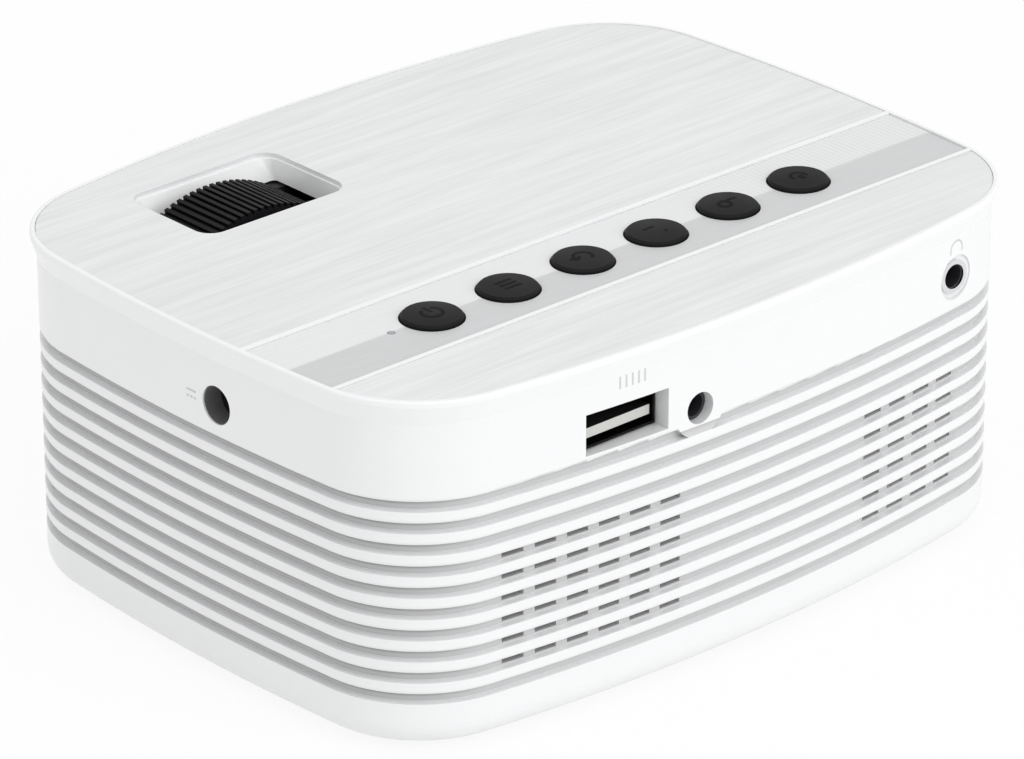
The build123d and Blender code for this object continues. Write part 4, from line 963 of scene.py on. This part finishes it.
class ScrewOperator(bpy.types.Operator):
    """Make the cross-head screws"""

    bl_idname = "projector.screws"
    bl_label = "Screws"

    head_radius = 2.4 * MM
    head_height = 1.7 * MM
    shank_radius = 1.1 * MM

    def screw_profile(self, length, pitch):
        """Outline of a pan-head screw that points up from z = 0, its head below."""
        head, height, shank = self.head_radius, self.head_height, self.shank_radius
        root = shank * 0.85
        profile = [(0, -height), (head * 0.72, -height), (head * 0.93, -height * 0.72), (head, -height * 0.3),
                   (head, 0), (root, 0)]
        for i in range(max(1, int(length / pitch) - 1)):
            start = pitch * (i + 0.3)
            profile += [(root, start), (shank, start + pitch * 0.25), (root, start + pitch * 0.5)]
        return profile + [(shank * 0.7, length - pitch * 0.2), (0, length)]

    def screw_mesh(self, name, length, pitch):
        """Screw with a cross recess cut in its head."""
        screw = bpy.data.objects.new(name, mesh_from(turned(self.screw_profile(length, pitch), 24), name))
        cross = bmesh.new()
        long, short = self.head_radius * 1.1, self.head_radius * 0.3
        for size in ((long, short, self.head_height), (short, long, self.head_height)):
            place = Matrix.Translation((0, 0, -self.head_height)) @ Matrix.Diagonal((*size, 1.0))
            bmesh.ops.create_cube(cross, size=1.0, matrix=place)
        cutter = bpy.data.objects.new(name + "_cutter", mesh_from(cross, name + "_cutter"))
        for part in (screw, cutter):
            bpy.context.scene.collection.objects.link(part)
        cut = screw.modifiers.new("recess", "BOOLEAN")
        cut.operation = "DIFFERENCE"
        cut.solver = "EXACT"
        cut.use_self = True
        cut.object = cutter
        graph = bpy.context.evaluated_depsgraph_get()
        mesh = bpy.data.meshes.new_from_object(screw.evaluated_get(graph))
        for part in (screw, cutter):
            bpy.data.objects.remove(part)
        return mesh

    def execute(self, context):
        pitch = context.scene.projector_fittings.thread_pitch
        for node, points_up in (("base_screws", True), ("cap_screws", True), ("board_screws", False)):
            low, high = (Vector(c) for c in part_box(node))
            shape = self.screw_mesh(node + "_cut", high.z - low.z - self.head_height, pitch)
            span = (high.x - low.x - 2 * self.head_radius, high.y - low.y - 2 * self.head_radius)
            middle = (low + high) / 2
            if points_up:
                place = Matrix.Translation((middle.x, middle.y, low.z + self.head_height))
            else:
                place = (Matrix.Translation((middle.x, middle.y, high.z - self.head_height))
                         @ Matrix.Rotation(math.pi, 4, "X"))
            mesh = set_out(node + "_made", shape, place, span, (2, 2), "screw")
            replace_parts(add_piece(node + "_made", mesh, "screw", "case", 30), node)
        return {"FINISHED"}


class FootOperator(bpy.types.Operator):
    """Make the rubber feet with grooved soles and the net behind the air intake"""

    bl_idname = "projector.feet"
    bl_label = "Feet and Intake Net"

    def execute(self, context):
        fittings = context.scene.projector_fittings
        low, high = (Vector(c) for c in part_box("rubber_feet"))
        radius = 5.0 * MM
        profile = self.foot_profile(radius, high.z - low.z, fittings.tread_grooves)
        shape = mesh_from(turned(profile, 48), "foot_shape")
        span = (high.x - low.x - 2 * radius, high.y - low.y - 2 * radius)
        middle = (low + high) / 2
        place = Matrix.Translation((middle.x, middle.y, low.z))
        mesh = set_out("feet_made", shape, place, span, (2, 2), "rubber")
        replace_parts(add_piece("feet_made", mesh, "rubber", "case", 35), "rubber_feet")
        self.add_net(fittings.net_wire, fittings.net_pitch)
        return {"FINISHED"}

    def foot_profile(self, radius, height, grooves):
        """Outline of a foot with rings cut in its sole."""
        edge, hub, half, depth = 0.35 * MM, 0.8 * MM, 0.35 * MM, 0.3 * MM
        profile = [(0, 0)]
        for i in range(grooves):
            at = hub + (radius - edge - hub) * (i + 0.5) / grooves
            profile += [(at - half, 0), (at - 0.2 * MM, depth), (at + 0.2 * MM, depth), (at + half, 0)]
        return profile + [(radius - edge, 0), (radius - edge * 0.3, edge * 0.3), (radius, edge),
                          (radius, height), (0, height)]

    def add_net(self, wire, pitch):
        """Dust net on the floor of the case, over the air intake."""
        length, width, middle_x, floor = 27 * MM, 28 * MM, -20 * MM, 3.5 * MM
        values = {"Length": length, "Width": width, "Columns": round(length / pitch) + 1,
                  "Rows": round(width / pitch) + 1, "Wire": wire, "Material": FINISHES["black"].material}
        mesh = grow("intake_net", net_tree(), values, Matrix.Translation((middle_x, 0, floor + wire)))
        add_piece("intake_net", mesh, "black", "case")


class FilterOperator(bpy.types.Operator):
    """Lay black dust filters on the inside of the vent slots"""

    bl_idname = "projector.filters"
    bl_label = "Vent Filters"

    columns, rows = 24, 12

    def layer(self, bm, wall_at, centre, half_x, depth):
        """Grid of points that depth inside the wall."""
        half_z = 10.5 * MM
        layer = []
        for j in range(self.rows + 1):
            z = centre.z - half_z + 2 * half_z * j / self.rows
            line = []
            for i in range(self.columns + 1):
                x = centre.x - half_x + 2 * half_x * i / self.columns
                line.append(bm.verts.new((x, wall_at(x) - depth, z)))
            layer.append(line)
        return layer

    def execute(self, context):
        tree = surface_of("body_shell")
        middle_z = box_centre("fan_frame").z
        gap, thickness = 0.1 * MM, 0.5 * MM
        columns, rows = self.columns, self.rows

        def wall_at(x):
            """Inner face of the rear wall, between two rows of slots."""
            return tree.ray_cast(Vector((x, 38 * MM, 37.8 * MM)), Vector((0, 1, 0)), 0.03)[0].y

        for name, half_x in (("fan", 17.5 * MM), ("speaker", 12.5 * MM)):
            centre = box_centre(f"{name}_frame")
            centre.z = middle_z
            bm = bmesh.new()
            layers = [self.layer(bm, wall_at, centre, half_x, depth) for depth in (gap, gap + thickness)]
            outer, inner = layers
            for j in range(rows):
                for i in range(columns):
                    for layer in layers:
                        bm.faces.new((layer[j][i], layer[j][i + 1], layer[j + 1][i + 1], layer[j + 1][i]))
            edge = ([(0, i) for i in range(columns)] + [(j, columns) for j in range(rows)]
                    + [(rows, i) for i in range(columns, 0, -1)] + [(j, 0) for j in range(rows, 0, -1)])
            for (j0, i0), (j1, i1) in zip(edge, edge[1:] + edge[:1]):
                bm.faces.new((outer[j0][i0], outer[j1][i1], inner[j1][i1], inner[j0][i0]))
            mesh = mesh_from(bm, f"filter_{name}")
            add_piece(f"filter_{name}", mesh, "felt", "case", 60)
        return {"FINISHED"}


class EngineOperator(bpy.types.Operator):
    """Finish the light engine, the heat sink, the fan and the speaker"""

    bl_idname = "projector.engine"
    bl_label = "Light Engine, Fan and Speaker"

    def execute(self, context):
        for finish, nodes in (("black", ("engine_housing", "fan_frame", "fan_rotor", "speaker_frame")),
                              ("fresnel", ("front_fresnel", "rear_fresnel")), ("panel", ("lcd_panel",)),
                              ("heat_glass", ("heat_glass",)), ("reflector", ("light_cone",)),
                              ("sink", ("heat_sink", "led_board")), ("phosphor", ("led_chip",)),
                              ("iron", ("speaker_magnet",)), ("paper", ("speaker_cone",))):
            dress(finish, *nodes)
        return {"FINISHED"}


class BoardOperator(bpy.types.Operator):
    """Finish the boards and set the chips' legs"""

    bl_idname = "projector.boards"
    bl_label = "Boards and Chips"

    def execute(self, context):
        dress("board", "main_board", "dc_board")
        dress("chip", "main_chips")
        dress("sleeve", "capacitors")
        pitch = context.scene.projector_fittings.leg_pitch
        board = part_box("main_board")[1][2]
        leg, thickness, reach = 1.2 * MM, 0.3 * MM, 0.6 * MM
        for name, x, y, side in (("wide", -25 * MM, -9 * MM, 14 * MM), ("middle", -5 * MM, -9 * MM, 8 * MM),
                                 ("small", -32 * MM, 11 * MM, 7 * MM)):
            shape = small_bar("chip_leg_shape", (thickness, leg, thickness), 0.06 * MM, (0, 0, thickness / 2))
            count = int((side - 1 * MM) / pitch) + 1
            place = Matrix.Translation((x, y, board))
            span = ((count - 1) * pitch, side + reach)
            mesh = set_out(f"chip_legs_{name}", shape, place, span, (count, 2), "socket")
            add_piece(f"chip_legs_{name}", mesh, "socket", "case")
        return {"FINISHED"}


class ProjectorPanel(bpy.types.Panel):
    """Lists the projector's steps, sizes and colours"""

    bl_idname = "VIEW3D_PT_projector"
    bl_label = "Pocket Projector"
    bl_space_type = "VIEW_3D"
    bl_region_type = "UI"
    bl_category = "Projector"

    def draw(self, context):
        for step in STEPS:
            self.layout.operator(step.bl_idname)
        for group in (context.scene.projector_looks, context.scene.projector_fittings,
                      context.scene.projector_stage):
            box = self.layout.box()
            for name in group.__annotations__:
                box.prop(group, name)


STEPS = (StageOperator, FinishOperator, CaseOperator, KeyOperator, PrintOperator, SocketOperator,
         LensOperator, ScrewOperator, FootOperator, FilterOperator, EngineOperator, BoardOperator)
GROUPS = (ProjectorLooks, ProjectorFittings, ProjectorStage)


def register():
    """Adds the classes and the scene's settings."""
    for item in (*GROUPS, *STEPS, ProjectorPanel):
        bpy.utils.register_class(item)
    bpy.types.Scene.projector_looks = PointerProperty(type=ProjectorLooks)
    bpy.types.Scene.projector_fittings = PointerProperty(type=ProjectorFittings)
    bpy.types.Scene.projector_stage = PointerProperty(type=ProjectorStage)


def unregister():
    """Takes them away again."""
    for name in ("projector_stage", "projector_fittings", "projector_looks"):
        delattr(bpy.types.Scene, name)
    for item in reversed((*GROUPS, *STEPS, ProjectorPanel)):
        bpy.utils.unregister_class(item)


def main():
    """Builds the whole scene."""
    register()
    for step in STEPS:
        group, name = step.bl_idname.split(".")
        getattr(getattr(bpy.ops, group), name)()


if __name__ == "__main__":
    main()
